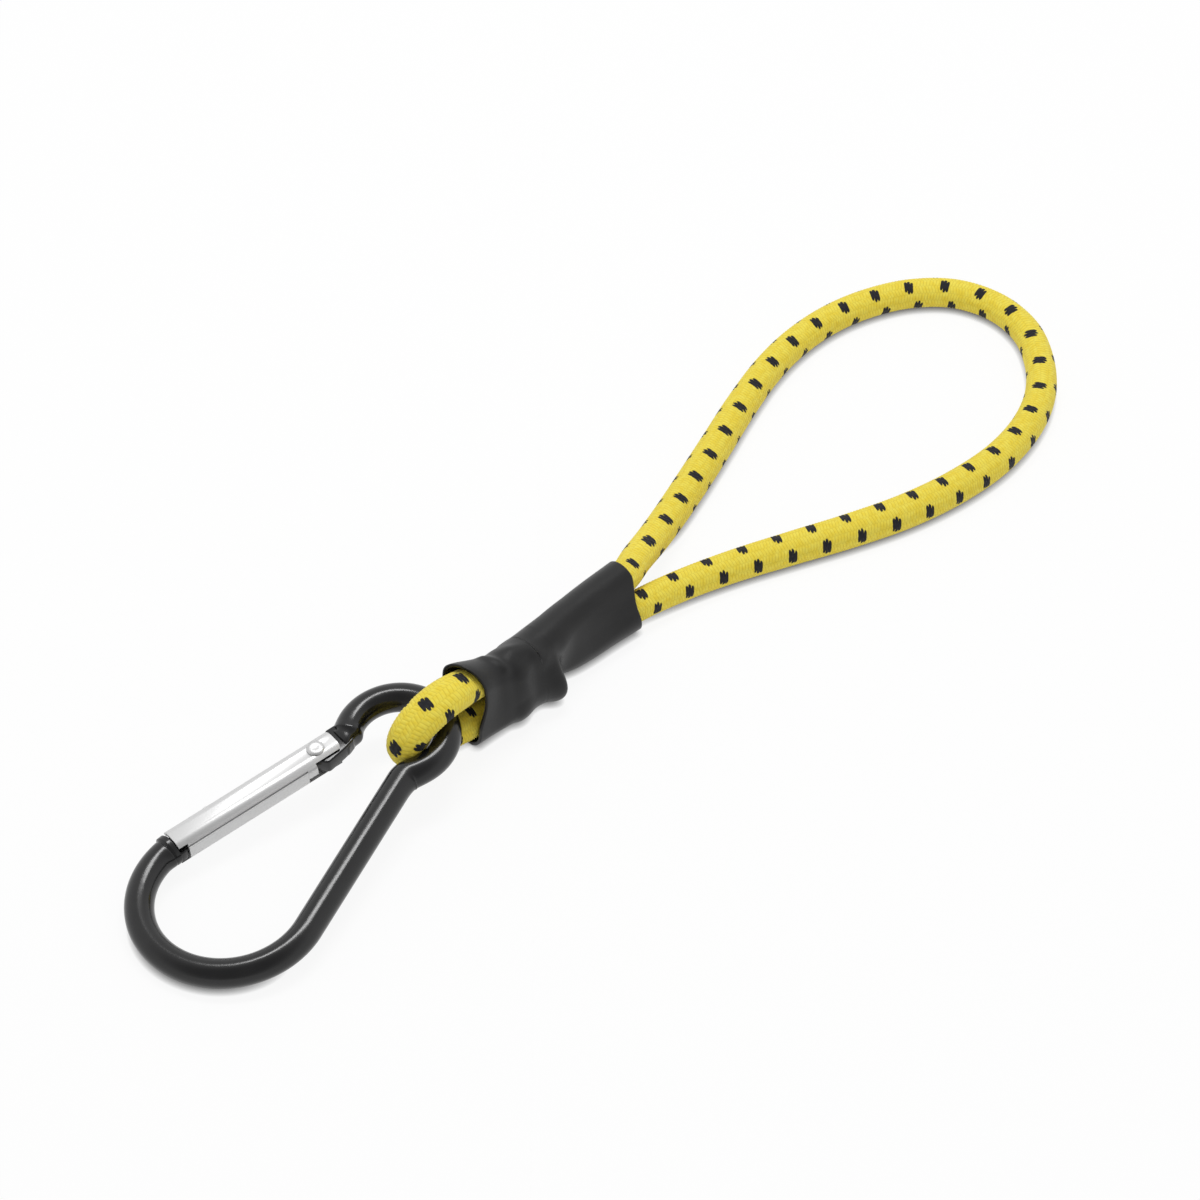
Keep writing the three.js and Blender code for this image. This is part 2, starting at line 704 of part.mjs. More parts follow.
/** Adds the whole cord, run by run, with a gap where one run meets the next. */
function cordRuns() {
  const runs = {
    eye: [...LOWER_STRAND, ...eyeTurn(), ...UPPER_STRAND],
    far_leg: FAR_LEG,
    loop_bow: LOOP_BOW,
    near_leg: [...NEAR_LEG, TAIL_STRAND[0]],
    tail: TAIL_STRAND.slice(1),
  };
  const points = Object.values(runs).flat().map((point) => new THREE.Vector3(...point));
  const last = points.length - 1;
  let from = 0;
  let to = -1;
  for (const [name, run] of Object.entries(runs)) {
    to += run.length;
    const startGap = from > 0 ? FIT / 2 / points[from].distanceTo(points[from + 1]) : 0;
    const endGap = to < last ? FIT / 2 / points[to].distanceTo(points[to - 1]) : 0;
    cord(name, new Stretch(points, from + startGap, to - endGap));
    from = to;
  }
}

cordRuns();
piece(root, 'shrink_sleeve', shrinkSleeve(), 0x2f2f30, 0.7, 0);
piece(root, 'front_ring', crimpRing(RING_FRONT_X, 8), 0x9a9a9a, 0.4, 1);
piece(root, 'rear_ring', crimpRing(RING_REAR_X, 8), 0x9a9a9a, 0.4, 1);

const carabiner = carabinerFrame();
root.add(carabiner);
piece(carabiner, 'carabiner_body', carabinerBody(), 0x1c1c1d, 0.3, 0.4);

const gate = gateFrame();
carabiner.add(gate);
piece(gate, 'gate_shell', gateShell(), 0xdfe0e1, 0.35, 1);
piece(gate, 'gate_rivet', gateRivet(), 0xd8d9da, 0.35, 1);
piece(gate, 'spring_plunger', springPlunger(), 0xc8c9ca, 0.35, 1).position.set(PLUNGER_X, PLUNGER_Y, 0);
piece(gate, 'gate_spring', gateSpring(), 0xb0b1b3, 0.3, 1).position.set(SPRING_X, PLUNGER_Y, 0);

console.log(`least gap between the spring's curls: ${leastGap(springLine(), SPRING_WIRE).toFixed(2)} mm`);

export default root;
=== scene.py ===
"""A bungee tie: an elastic cord loop and a snap carabiner, joined in a shrink sleeve.

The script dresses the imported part. Sizes and places are in metres, or in millimetres in the
tables that say so, and in the part's own frame: the origin lies on the table under the sleeve, +X
runs from the carabiner towards the loop, and +Z is up.
"""

import logging
import math
from dataclasses import dataclass
from enum import Enum
from typing import Union

import bpy
import numpy as np
from mathutils import Matrix, Vector


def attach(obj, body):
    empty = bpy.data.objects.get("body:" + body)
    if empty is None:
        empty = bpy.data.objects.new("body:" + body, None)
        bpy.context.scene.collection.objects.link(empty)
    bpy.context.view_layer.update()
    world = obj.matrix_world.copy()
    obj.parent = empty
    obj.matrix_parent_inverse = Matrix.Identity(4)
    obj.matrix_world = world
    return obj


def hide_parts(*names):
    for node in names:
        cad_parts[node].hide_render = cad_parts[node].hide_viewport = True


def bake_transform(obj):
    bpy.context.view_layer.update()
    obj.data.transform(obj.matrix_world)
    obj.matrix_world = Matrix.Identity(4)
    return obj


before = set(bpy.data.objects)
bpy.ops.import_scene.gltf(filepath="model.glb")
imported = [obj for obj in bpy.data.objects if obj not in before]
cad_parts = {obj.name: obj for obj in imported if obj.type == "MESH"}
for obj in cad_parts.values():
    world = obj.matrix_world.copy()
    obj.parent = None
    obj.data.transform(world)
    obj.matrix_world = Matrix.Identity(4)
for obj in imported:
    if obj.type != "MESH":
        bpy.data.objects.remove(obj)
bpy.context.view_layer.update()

MM = 0.001
TABLE = 0.02 * MM
UP = (0.0, 0.0, 1.0)

Array = np.ndarray
Pair = tuple[float, float]
Point = tuple[float, float, float]
Colour = tuple[float, float, float, float]
Faces = list[tuple[int, ...]]
Skin = tuple[Array, Faces]
Object = bpy.types.Object
Material = bpy.types.Material
Socket = bpy.types.NodeSocket
Feed = Union[Socket, float, tuple]
log = logging.getLogger("bungee_tie")


class Body(Enum):
    """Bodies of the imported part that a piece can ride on."""

    SLEEVE = "sleeve"
    LOOP = "loop"
    CARABINER = "carabiner"
    GATE = "gate"
    PLUNGER = "plunger"


class Slot(Enum):
    """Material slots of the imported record."""

    SHEATH = "cord_sheath"
    CORE = "cord_core"
    SLEEVE = "shrink_sleeve"
    RING = "ring_steel"
    ROD = "body_black"
    GATE = "gate_aluminium"
    RIVET = "rivet_aluminium"
    SPRING = "spring_steel"


# Small sums

BLUR_REACH = 3.0


def smoothstep(low: float, high: float, value: Array) -> Array:
    """A soft step from 0 at low to 1 at high."""
    share = np.clip((np.asarray(value, float) - low) / (high - low), 0.0, 1.0)
    return share * share * (3.0 - 2.0 * share)


def hump(middle: float, spread: float, value: Array) -> Array:
    """A soft hump of height 1 about a middle."""
    return np.exp(-(((np.asarray(value, float) - middle) / spread) ** 2))


def unit(vectors: Array) -> Array:
    """Rows of an array, each brought to length 1."""
    return vectors / np.linalg.norm(vectors, axis=-1, keepdims=True)


def blurred_round(values: Array, spread: float) -> Array:
    """Closed rows of values, softened along the row.

    Args:
        values: One closed row of samples in each line of the array.
        spread: Width of the softening, in samples.

    Returns:
        The softened rows.
    """
    count = values.shape[-1]
    waves = np.fft.rfftfreq(count) * 2.0 * np.pi * spread
    return np.fft.irfft(np.fft.rfft(values, axis=-1) * np.exp(-(waves**2) / 2.0), count, axis=-1)


def blurred_along(values: Array, spread: float) -> Array:
    """An open column of values, softened along its first axis, with its ends held.

    Args:
        values: Samples along the first axis.
        spread: Width of the softening, in samples.

    Returns:
        The softened samples.
    """
    reach = max(1, int(round(BLUR_REACH * spread)))
    weights = hump(0.0, math.sqrt(2.0) * spread, np.arange(-reach, reach + 1))
    weights /= weights.sum()
    padding = [(reach, reach)] + [(0, 0)] * (values.ndim - 1)
    padded = np.pad(values, padding, mode="reflect", reflect_type="odd")
    return sum(w * padded[i : i + len(values)] for i, w in enumerate(weights))


# Meshes


def tube_faces(rings: int, sides: int, closed: bool = False) -> Faces:
    """Four-sided faces of a skin over rings of points.

    Args:
        rings: How many rings there are.
        sides: How many points each ring has.
        closed: True where the last ring joins the first one, so that there are no ends to cap.

    Returns:
        Faces that look outwards where a ring turns to the right about the direction of travel.
    """
    faces = []
    for i in range(rings if closed else rings - 1):
        low, high = i * sides, ((i + 1) % rings) * sides
        for j in range(sides):
            k = (j + 1) % sides
            faces.append((low + j, low + k, high + k, high + j))
    if not closed:
        faces.append(tuple(reversed(range(sides))))
        faces.append(tuple(range((rings - 1) * sides, rings * sides)))
    return faces


def add_piece(name: str, vertices: Array, faces: Faces) -> Object:
    """A new mesh object in the scene, shaded smooth.

    Args:
        name: Name of the piece.
        vertices: Points of the mesh, one in each row.
        faces: Corners of each face.

    Returns:
        The new object.
    """
    mesh = bpy.data.meshes.new(name)
    mesh.from_pydata(np.asarray(vertices, float).reshape(-1, 3).tolist(), [], faces)
    mesh.polygons.foreach_set("use_smooth", [True] * len(mesh.polygons))
    mesh.update()
    piece = bpy.data.objects.new(name, mesh)
    bpy.context.scene.collection.objects.link(piece)
    return piece


def merged(parts: list[Skin]) -> Skin:
    """Several skins as the points and faces of one mesh.

    Args:
        parts: Points and faces of each skin.

    Returns:
        All points, and all faces with their corners renumbered.
    """
    vertices, faces = [], []
    for points, sides in parts:
        start = sum(len(v) for v in vertices)
        vertices.append(np.asarray(points, float).reshape(-1, 3))
        faces += [tuple(start + corner for corner in face) for face in sides]
    return np.vstack(vertices), faces


def dress(piece: Object, material: Material, slot: Slot, *nodes: str) -> None:
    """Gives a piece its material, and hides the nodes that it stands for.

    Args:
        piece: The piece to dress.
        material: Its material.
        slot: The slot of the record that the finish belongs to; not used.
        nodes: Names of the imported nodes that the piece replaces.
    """
    piece.data.materials.clear()
    piece.data.materials.append(material)
    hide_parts(*nodes)


def settle(piece: Object) -> None:
    """Turns a piece's modifiers into plain mesh.

    Args:
        piece: The piece, which keeps its name and its place.
    """
    graph = bpy.context.evaluated_depsgraph_get()
    final = bpy.data.meshes.new_from_object(piece.evaluated_get(graph))
    piece.modifiers.clear()
    piece.data = final


def sharpen(piece: Object, angle: float) -> None:
    """Keeps the edges of a mesh crisp where its faces meet at more than an angle.

    Args:
        piece: The piece, shaded smooth.
        angle: The least angle of a crisp edge, in degrees.
    """
    piece.data.polygons.foreach_set("use_smooth", [True] * len(piece.data.polygons))
    piece.data.set_sharp_from_angle(angle=math.radians(angle))


# Lines


@dataclass(frozen=True)
class Line:
    """Points along a curve, with the distance of each from the curve's start."""

    points: Array
    lengths: Array

    @classmethod
    def through(cls, places: list[Point], steps: int = 40) -> "Line":
        """A smooth curve through placed points, which evens out its speed between them.

        Args:
            places: Points that the curve passes, in order.
            steps: Samples from one placed point to the next.

        Returns:
            The sampled curve. Sample number k * steps is placed point k.
        """
        given = np.array(places, float)
        first, last = 2.0 * given[0] - given[1], 2.0 * given[-1] - given[-2]
        given = np.vstack([first, given, last])
        share = np.linspace(0.0, 1.0, steps, endpoint=False)[:, None]
        stretches = []
        for p0, p1, p2, p3 in zip(given, given[1:], given[2:], given[3:]):
            gaps = (p1 - p0, p2 - p1, p3 - p2)
            d0, d1, d2 = (math.sqrt(np.linalg.norm(gap)) for gap in gaps)
            leave = d1 * ((p1 - p0) / d0 - (p2 - p0) / (d0 + d1) + (p2 - p1) / d1)
            arrive = d1 * ((p2 - p1) / d1 - (p3 - p1) / (d1 + d2) + (p3 - p2) / d2)
            cube, square = share**3, share**2
            stretches.append(
                (2.0 * cube - 3.0 * square + 1.0) * p1
                + (cube - 2.0 * square + share) * leave
                + (3.0 * square - 2.0 * cube) * p2
                + (cube - square) * arrive
            )
        return cls.of(np.vstack(stretches + [given[-2:-1]]))

    @classmethod
    def of(cls, points: Array) -> "Line":
        """A line through sampled points."""
        gaps = np.linalg.norm(np.diff(points, axis=0), axis=1)
        return cls(points, np.concatenate([[0.0], np.cumsum(gaps)]))

    @property
    def length(self) -> float:
        """Length from end to end."""
        return float(self.lengths[-1])

    def at(self, distances: Array) -> Array:
        """Points at distances along the line."""
        axes = [np.interp(distances, self.lengths, axis) for axis in self.points.T]
        return np.stack(axes, axis=-1)

    def part(self, start: float, end: float, step: float) -> "Line":
        """A stretch of the line in even steps.

        Args:
            start: Where the stretch starts along the line.
            end: Where it ends.
            step: About how far apart its samples are.

        Returns:
            The stretch as a line of its own.
        """
        count = int(round((end - start) / step)) + 1
        return Line.of(self.at(np.linspace(start, end, count)))

    def across(self, lean: Point) -> tuple[Array, Array]:
        """Two directions across the line.

        Args:
            lean: Direction that the first side leans to, never along the line.

        Returns:
            The first side and the second side at each sample.
        """
        along = unit(np.gradient(self.points, axis=0))
        towards = np.array(lean, float)
        side = unit(towards - (along @ towards)[:, None] * along)
        return side, np.cross(along, side)

    def rings(self, radii: Array, turns: Array, lean: Point) -> Array:
        """Rings of points round the line.

        Args:
            radii: Distance of each point from the line, by sample and by side.
            turns: Angle of each point from the first side, by sample and by side.
            lean: Direction that the first side leans to.

        Returns:
            Points by sample, by side and by axis.
        """
        side, other = self.across(lean)
        out = np.cos(turns)[..., None] * side[:, None] + np.sin(turns)[..., None] * other[:, None]
        return self.points[:, None] + radii[..., None] * out


def around(sides: int) -> Array:
    """Angles of evenly spaced sides round a ring."""
    return np.arange(sides) * 2.0 * np.pi / sides


def pointing(angle: float) -> Array:
    """The direction at an angle in degrees, in a plane."""
    return np.array([math.cos(math.radians(angle)), math.sin(math.radians(angle))])


# Finishes

BRAID_MAP = "stitches"
FINE_DETAIL = 4.0
ROUNDING = 1e-6


class NodeSheet:
    """A node tree, with short calls for the nodes that the finishes and the sky use."""

    def __init__(self, tree: bpy.types.NodeTree) -> None:
        """Takes over a tree of nodes."""
        self.tree = tree

    def node(self, kind: str) -> bpy.types.Node:
        """A new node of a kind."""
        return self.tree.nodes.new(kind)

    def link(self, source: Socket, target: Socket) -> None:
        """Joins two sockets."""
        self.tree.links.new(source, target)

    def feed(self, target: Socket, value: Feed) -> None:
        """Sets a socket to a constant, or joins it to another socket.

        Args:
            target: The socket to set.
            value: A constant or a socket.
        """
        if isinstance(value, bpy.types.NodeSocket):
            self.link(value, target)
        else:
            target.default_value = value

    def math(self, operation: str, *values: Feed) -> Socket:
        """Result of a sum.

        Args:
            operation: Blender's name of the sum.
            values: Its numbers, each a constant or a socket.

        Returns:
            The socket that gives the result.
        """
        node = self.node("ShaderNodeMath")
        node.operation = operation
        for socket, value in zip(node.inputs, values):
            self.feed(socket, value)
        return node.outputs["Value"]

    def spread(self, value: Socket, low: Feed, high: Feed) -> Socket:
        """A value from 0 to 1, brought to run from low to high.

        Args:
            value: The socket that is read.
            low: Result at 0.
            high: Result at 1.

        Returns:
            The socket that gives the result.
        """
        node = self.node("ShaderNodeMapRange")
        self.feed(node.inputs["Value"], value)
        self.feed(node.inputs["To Min"], low)
        self.feed(node.inputs["To Max"], high)
        return node.outputs["Result"]

    def about(self, value: Socket, middle: float, reach: float) -> Socket:
        """A value from 0 to 1, brought to run about a middle."""
        return self.spread(value, middle - reach, middle + reach)

    def step(self, value: Socket, low: float, high: float, ends: Pair = (0.0, 1.0)) -> Socket:
        """A soft step between two values.

        Args:
            value: The socket that is read.
            low: Where the step starts.
            high: Where it ends.
            ends: Results before the step and after it.

        Returns:
            The socket that gives the result.
        """
        node = self.node("ShaderNodeMapRange")
        node.interpolation_type = "SMOOTHSTEP"
        self.feed(node.inputs["Value"], value)
        for name, number in zip(("From Min", "From Max", "To Min", "To Max"), (low, high, *ends)):
            self.feed(node.inputs[name], number)
        return node.outputs["Result"]

    def seen_directly(self) -> Socket:
        """1 for what the camera sees, also in gloss and through glass, and 0 for soft light.

        Returns:
            The socket that gives the result.
        """
        path = self.node("ShaderNodeLightPath").outputs
        glossy = self.math("MAXIMUM", path["Is Camera Ray"], path["Is Glossy Ray"])
        return self.math("MAXIMUM", glossy, path["Is Transmission Ray"])


class FinishSheet(NodeSheet):
    """The node tree of one material, with a principled surface."""

    def __init__(self, name: str) -> None:
        """Starts a material of a name.

        Args:
            name: Name of the material.
        """
        self.material = bpy.data.materials.new(name)
        self.material.use_nodes = True
        super().__init__(self.material.node_tree)
        self.tree.nodes.clear()
        self.output = self.node("ShaderNodeOutputMaterial")
        self.surface = self.node("ShaderNodeBsdfPrincipled")
        self.link(self.surface.outputs["BSDF"], self.output.inputs["Surface"])

    def set(self, **values: Feed) -> None:
        """Sets sockets of the surface, named with _ for a space."""
        for name, value in values.items():
            self.feed(self.surface.inputs[name.replace("_", " ")], value)

    def blend(self, share: Feed, first: Feed, second: Feed) -> Socket:
        """A colour between two colours.

        Args:
            share: 0 for the first colour and 1 for the second.
            first: Colour or socket.
            second: Colour or socket.

        Returns:
            The socket that gives the colour.
        """
        node = self.node("ShaderNodeMix")
        node.data_type = "RGBA"
        self.feed(node.inputs[0], share)
        self.feed(node.inputs[6], first)
        self.feed(node.inputs[7], second)
        return node.outputs[2]

    def place(self, scale: Point = (1.0, 1.0, 1.0)) -> Socket:
        """Places on the piece in its own axes, each axis multiplied by a scale.

        Args:
            scale: The scale of each axis.

        Returns:
            The socket that gives the places.
        """
        node = self.node("ShaderNodeMapping")
        self.link(self.node("ShaderNodeTexCoord").outputs["Object"], node.inputs["Vector"])
        self.feed(node.inputs["Scale"], scale)
        return node.outputs["Vector"]

    def map_axes(self, name: str) -> tuple[Socket, Socket]:
        """The two axes of a named surface map.

        Args:
            name: Name of the map.

        Returns:
            The sockets that give them.
        """
        source = self.node("ShaderNodeUVMap")
        source.uv_map = name
        split = self.node("ShaderNodeSeparateXYZ")
        self.link(source.outputs["UV"], split.inputs["Vector"])
        return split.outputs["X"], split.outputs["Y"]

    def noise(self, where: Socket, scale: float, detail: float = 3.0) -> Socket:
        """Soft noise from 0 to 1.

        Args:
            where: Places to read the noise at.
            scale: Lumps in a metre.
            detail: Finer layers on top.

        Returns:
            The socket that gives the noise.
        """
        node = self.node("ShaderNodeTexNoise")
        self.link(where, node.inputs["Vector"])
        self.feed(node.inputs["Scale"], scale)
        self.feed(node.inputs["Detail"], detail)
        return node.outputs["Fac"]

    def bump(self, height: Socket, distance: float) -> None:
        """Roughens the surface by a height of up to a distance.

        Args:
            height: The socket that gives the height.
            distance: How far a height of 1 stands out.
        """
        node = self.node("ShaderNodeBump")
        self.feed(node.inputs["Distance"], distance)
        self.link(height, node.inputs["Height"])
        self.link(node.outputs["Normal"], self.surface.inputs["Normal"])


def grey(level: float) -> Colour:
    """A grey colour."""
    return (level, level, level, 1.0)


@dataclass(frozen=True)
class Stitches:
    """How the braid is laid, for its relief and for its colours alike."""

    columns: int = 12
    rib: float = 0.676 * MM
    lean: float = 0.5
    fleck_rows: int = 4
    fleck_pitch: float = 11.5
    fleck_bars: float = 3.0
    fleck_slant: float = 0.3
    bar_pitch: float = 0.96
    bar_half: float = 0.98
    bar_taper: float = 0.18
    bar_step: float = 0.14
    bar_fray: float = 0.22
    fleck_shift: float = 0.13
    crest_power: float = 0.8
    column_groove: float = 0.75
    column_power: int = 4

    def relief(self, ribs: Array, columns: Array) -> Array:
        """Height of the stitches.

        Args:
            ribs: Place along the cord, in ribs.
            columns: Place round the cord, in columns.

        Returns:
            Heights from 0 in the grooves to 1 on the crests.
        """
        column = np.floor(columns + ROUNDING)
        odd = column % 2
        across = columns - column - 0.5
        phase = ribs + 0.5 * odd + self.lean * across * (1.0 - 2.0 * odd)
        crest = np.cos(np.pi * (phase - np.floor(phase) - 0.5))
        groove = self.column_groove * np.abs(2.0 * across) ** self.column_power
        return crest**self.crest_power * (1.0 - groove)


@dataclass(frozen=True)
class BraidFinish:
    """Yellow braid with short black flecks, and painted shade in the grooves between its stitches
    and along its column seams.
    """

    stitches: Stitches = Stitches()
    yellow: Colour = (0.88, 0.69, 0.055, 1.0)
    pale_yellow: Colour = (0.92, 0.78, 0.10, 1.0)
    # Painted shade: the darker yellow put in the grooves between stitches and in the seams between
    # columns
    groove: Colour = (0.46, 0.31, 0.015, 1.0)
    black: Colour = (0.010, 0.010, 0.014, 1.0)
    worn_black: Colour = (0.022, 0.021, 0.023, 1.0)
    groove_edge: Pair = (0.28, 0.5)
    groove_shade_share: float = 0.34
    seam_edge: Pair = (0.38, 0.5)
    seam_shade_share: float = 0.16
    pale_tones: Pair = (0.3, 0.7)
    worn_tones: Pair = (0.45, 0.75)
    tone_scale: float = 900.0
    fuzz_scale: float = 9000.0
    filaments: float = 4.0
    filament_share: float = 0.35
    fuzz_height: float = 0.03 * MM
    fray_edge: Pair = (0.22, 0.5)
    ragged: float = 0.24
    bar_edge: Pair = (0.2, 0.04)
    fleck_edge: Pair = (0.05, -0.07)
    roughness: float = 0.78
    roughness_range: float = 0.08

    def make(self) -> Material:
        """The braid's material, drawn from its stitch map.

        Returns:
            The new material.
        """
        lay = self.stitches
        sheet = FinishSheet("yellow_braid")
        ribs, turn = sheet.map_axes(BRAID_MAP)
        columns = sheet.math("MULTIPLY", turn, float(lay.columns))
        column = sheet.math("FLOOR", columns)
        across = sheet.math("SUBTRACT", sheet.math("FRACT", columns), 0.5)
        odd = sheet.math("FLOORED_MODULO", column, 2.0)
        way = sheet.math("MULTIPLY_ADD", odd, -2.0 * lay.lean, lay.lean)
        stagger = sheet.math("MULTIPLY", odd, 0.5)
        phase = sheet.math("ADD", sheet.math("MULTIPLY_ADD", across, way, stagger), ribs)
        inside = sheet.math("ABSOLUTE", sheet.math("SUBTRACT", sheet.math("FRACT", phase), 0.5))
        edge = sheet.math("ABSOLUTE", across)

        places = sheet.place()
        tone = sheet.noise(places, self.tone_scale)
        fleck = self.fleck(sheet, ribs, columns, tone)
        yarn = sheet.blend(sheet.step(tone, *self.pale_tones), self.yellow, self.pale_yellow)
        # Painted shade in the grooves between ribs and along the seams between columns, blended
        # into the yarn's colour
        between = sheet.math("MULTIPLY", sheet.step(inside, *self.groove_edge), self.groove_shade_share)
        beside = sheet.math("MULTIPLY", sheet.step(edge, *self.seam_edge), self.seam_shade_share)
        shade = sheet.math("MAXIMUM", between, beside)
        shaded_cloth = sheet.blend(shade, yarn, self.groove)
        ink = sheet.blend(sheet.step(tone, *self.worn_tones), self.black, self.worn_black)
        sheet.set(Base_Color=sheet.blend(fleck, shaded_cloth, ink))
        filament = sheet.math("SINE", sheet.math("MULTIPLY", phase, 2.0 * math.pi * self.filaments))
        ridges = sheet.math("MULTIPLY", filament, self.filament_share)
        fuzz = sheet.math("ADD", ridges, sheet.noise(places, self.fuzz_scale))
        sheet.bump(fuzz, self.fuzz_height)
        sheet.set(Roughness=sheet.about(tone, self.roughness, self.roughness_range))
        sheet.set(Sheen_Weight=0.15, Sheen_Roughness=0.4, Specular_IOR_Level=0.3)
        return sheet.material

    def fleck(self, sheet: FinishSheet, ribs: Socket, columns: Socket, tone: Socket) -> Socket:
        """Where a black fleck lies: a few short bars side by side, frayed at their ends.

        Args:
            sheet: The node sheet to draw on.
            ribs: Place along the cord, in ribs.
            columns: Place round the cord, in columns.
            tone: Noise that roughens the bars' ends.

        Returns:
            The socket that gives 1 on a fleck and 0 beside it.
        """
        lay = self.stitches
        row_width = lay.columns / lay.fleck_rows
        row = sheet.math("FLOOR", sheet.math("DIVIDE", columns, row_width))
        beside = sheet.math("SUBTRACT", sheet.math("MULTIPLY_ADD", row, -row_width, columns), 1.0)
        slanted = sheet.math("MULTIPLY_ADD", beside, lay.fleck_slant, ribs)
        centre = sheet.math("MULTIPLY_ADD", row, lay.fleck_pitch / lay.fleck_rows, lay.fleck_shift)
        away = sheet.math("SUBTRACT", slanted, centre)
        turns = sheet.math("FLOOR", sheet.math("MULTIPLY_ADD", away, 1.0 / lay.fleck_pitch, 0.5))
        apart = sheet.math("MULTIPLY_ADD", turns, -lay.fleck_pitch, away)
        bars = sheet.math("MULTIPLY_ADD", apart, 1.0 / lay.bar_pitch, 0.5)
        bar = sheet.math("FLOOR", bars)
        inside = sheet.math("ABSOLUTE", sheet.math("SUBTRACT", sheet.math("FRACT", bars), 0.5))
        moved = sheet.math("ABSOLUTE", sheet.math("MULTIPLY_ADD", bar, -lay.bar_step, beside))
        fray = sheet.step(inside, *self.fray_edge)
        frayed = sheet.math("MULTIPLY_ADD", fray, lay.bar_fray, moved)
        tapered = sheet.math("MULTIPLY_ADD", sheet.math("ABSOLUTE", bar), lay.bar_taper, frayed)
        ragged = sheet.math("MULTIPLY_ADD", tone, self.ragged, tapered)
        across = sheet.step(ragged, *(lay.bar_half + edge for edge in self.bar_edge))
        half = lay.fleck_bars * lay.bar_pitch / 2.0
        distance = sheet.math("ABSOLUTE", apart)
        along = sheet.step(distance, *(half + edge for edge in self.fleck_edge))
        return sheet.math("MULTIPLY", across, along)


@dataclass(frozen=True)
class RubberFinish:
    """Natural rubber strands of the cord's core."""

    light: Colour = (0.62, 0.54, 0.37, 1.0)
    dark: Colour = (0.47, 0.39, 0.25, 1.0)
    tone_scale: float = 700.0
    grain_scale: float = 5000.0
    grain_height: float = 0.03 * MM
    roughness: float = 0.62
    roughness_range: float = 0.1

    def make(self) -> Material:
        """The core's material.

        Returns:
            The new material.
        """
        sheet = FinishSheet("core_rubber")
        places = sheet.place()
        tone = sheet.noise(places, self.tone_scale)
        sheet.set(Base_Color=sheet.blend(tone, self.dark, self.light))
        sheet.set(Roughness=sheet.about(tone, self.roughness, self.roughness_range))
        sheet.bump(sheet.noise(places, self.grain_scale), self.grain_height)
        return sheet.material


@dataclass(frozen=True)
class ShrinkFinish:
    """Matt black shrink tube."""

    dark: Colour = (0.006, 0.006, 0.0063, 1.0)
    rubbed: Colour = (0.011, 0.011, 0.0113, 1.0)
    rubbed_tones: Pair = (0.35, 0.7)
    drawn: Point = (0.25, 1.0, 1.0)
    drawn_scale: float = 260.0
    drawn_share: float = 0.8
    grain_scale: float = 5200.0
    grain_height: float = 0.02 * MM
    roughness: Pair = (0.32, 0.48)

    def make(self) -> Material:
        """The sleeve's material.

        Returns:
            The new material.
        """
        sheet = FinishSheet("matt_shrink_tube")
        wide = sheet.noise(sheet.place(self.drawn), self.drawn_scale)
        rubbed = sheet.step(wide, *self.rubbed_tones)
        sheet.set(Base_Color=sheet.blend(rubbed, self.dark, self.rubbed))
        fine = sheet.noise(sheet.place(), self.grain_scale, FINE_DETAIL)
        sheet.set(Roughness=sheet.spread(wide, *self.roughness))
        sheet.bump(sheet.math("MULTIPLY_ADD", wide, self.drawn_share, fine), self.grain_height)
        sheet.set(Specular_IOR_Level=0.3)
        return sheet.material


@dataclass(frozen=True)
class GlossBlackFinish:
    """Gloss black coating on the carabiner's rod."""

    colour: Colour = (0.005, 0.005, 0.0055, 1.0)
    dusty: Colour = (0.008, 0.008, 0.0085, 1.0)
    dusty_tones: Pair = (0.45, 0.75)
    cloud_scale: float = 180.0
    ripple_scale: float = 420.0
    ripple_detail: float = 2.0
    ripple_height: float = 0.02 * MM
    roughness: Pair = (0.15, 0.23)

    def make(self) -> Material:
        """The rod's material.

        Returns:
            The new material.
        """
        sheet = FinishSheet("gloss_black_coat")
        places = sheet.place()
        cloud = sheet.noise(places, self.cloud_scale)
        dusty = sheet.step(cloud, *self.dusty_tones)
        sheet.set(Base_Color=sheet.blend(dusty, self.colour, self.dusty))
        sheet.set(Roughness=sheet.spread(cloud, *self.roughness))
        ripple = sheet.noise(places, self.ripple_scale, self.ripple_detail)
        sheet.bump(ripple, self.ripple_height)
        sheet.set(IOR=1.5, Specular_IOR_Level=0.45)
        return sheet.material


class MetalTone(Enum):
    """Metals of the small parts, each with its grey level, roughness and share of bare metal."""

    ALUMINIUM = (0.67, 0.38, 0.6)
    RIVET = (0.60, 0.34, 0.7)
    STEEL = (0.55, 0.32, 1.0)


@dataclass(frozen=True)
class MetalFinish:
    """Metal with fine drawing lines along the piece, dulled by its oxide where it isn't bare."""

    tone: MetalTone
    line_scale: Point = (40.0, 1600.0, 1600.0)
    line_height: float = 0.006 * MM
    cloud_scale: float = 240.0
    cloud_level: float = 0.93
    roughness_range: float = 0.07

    def make(self) -> Material:
        """The metal's material.

        Returns:
            The new material.
        """
        level, roughness, bare = self.tone.value
        sheet = FinishSheet(f"bare_{self.tone.name.lower()}")
        lines = sheet.noise(sheet.place(self.line_scale), 1.0, FINE_DETAIL)
        cloud = sheet.noise(sheet.place(), self.cloud_scale)
        sheet.set(Base_Color=sheet.blend(cloud, grey(level * self.cloud_level), grey(level)))
        sheet.set(Roughness=sheet.about(lines, roughness, self.roughness_range))
        sheet.bump(lines, self.line_height)
        sheet.set(Metallic=bare)
        return sheet.material


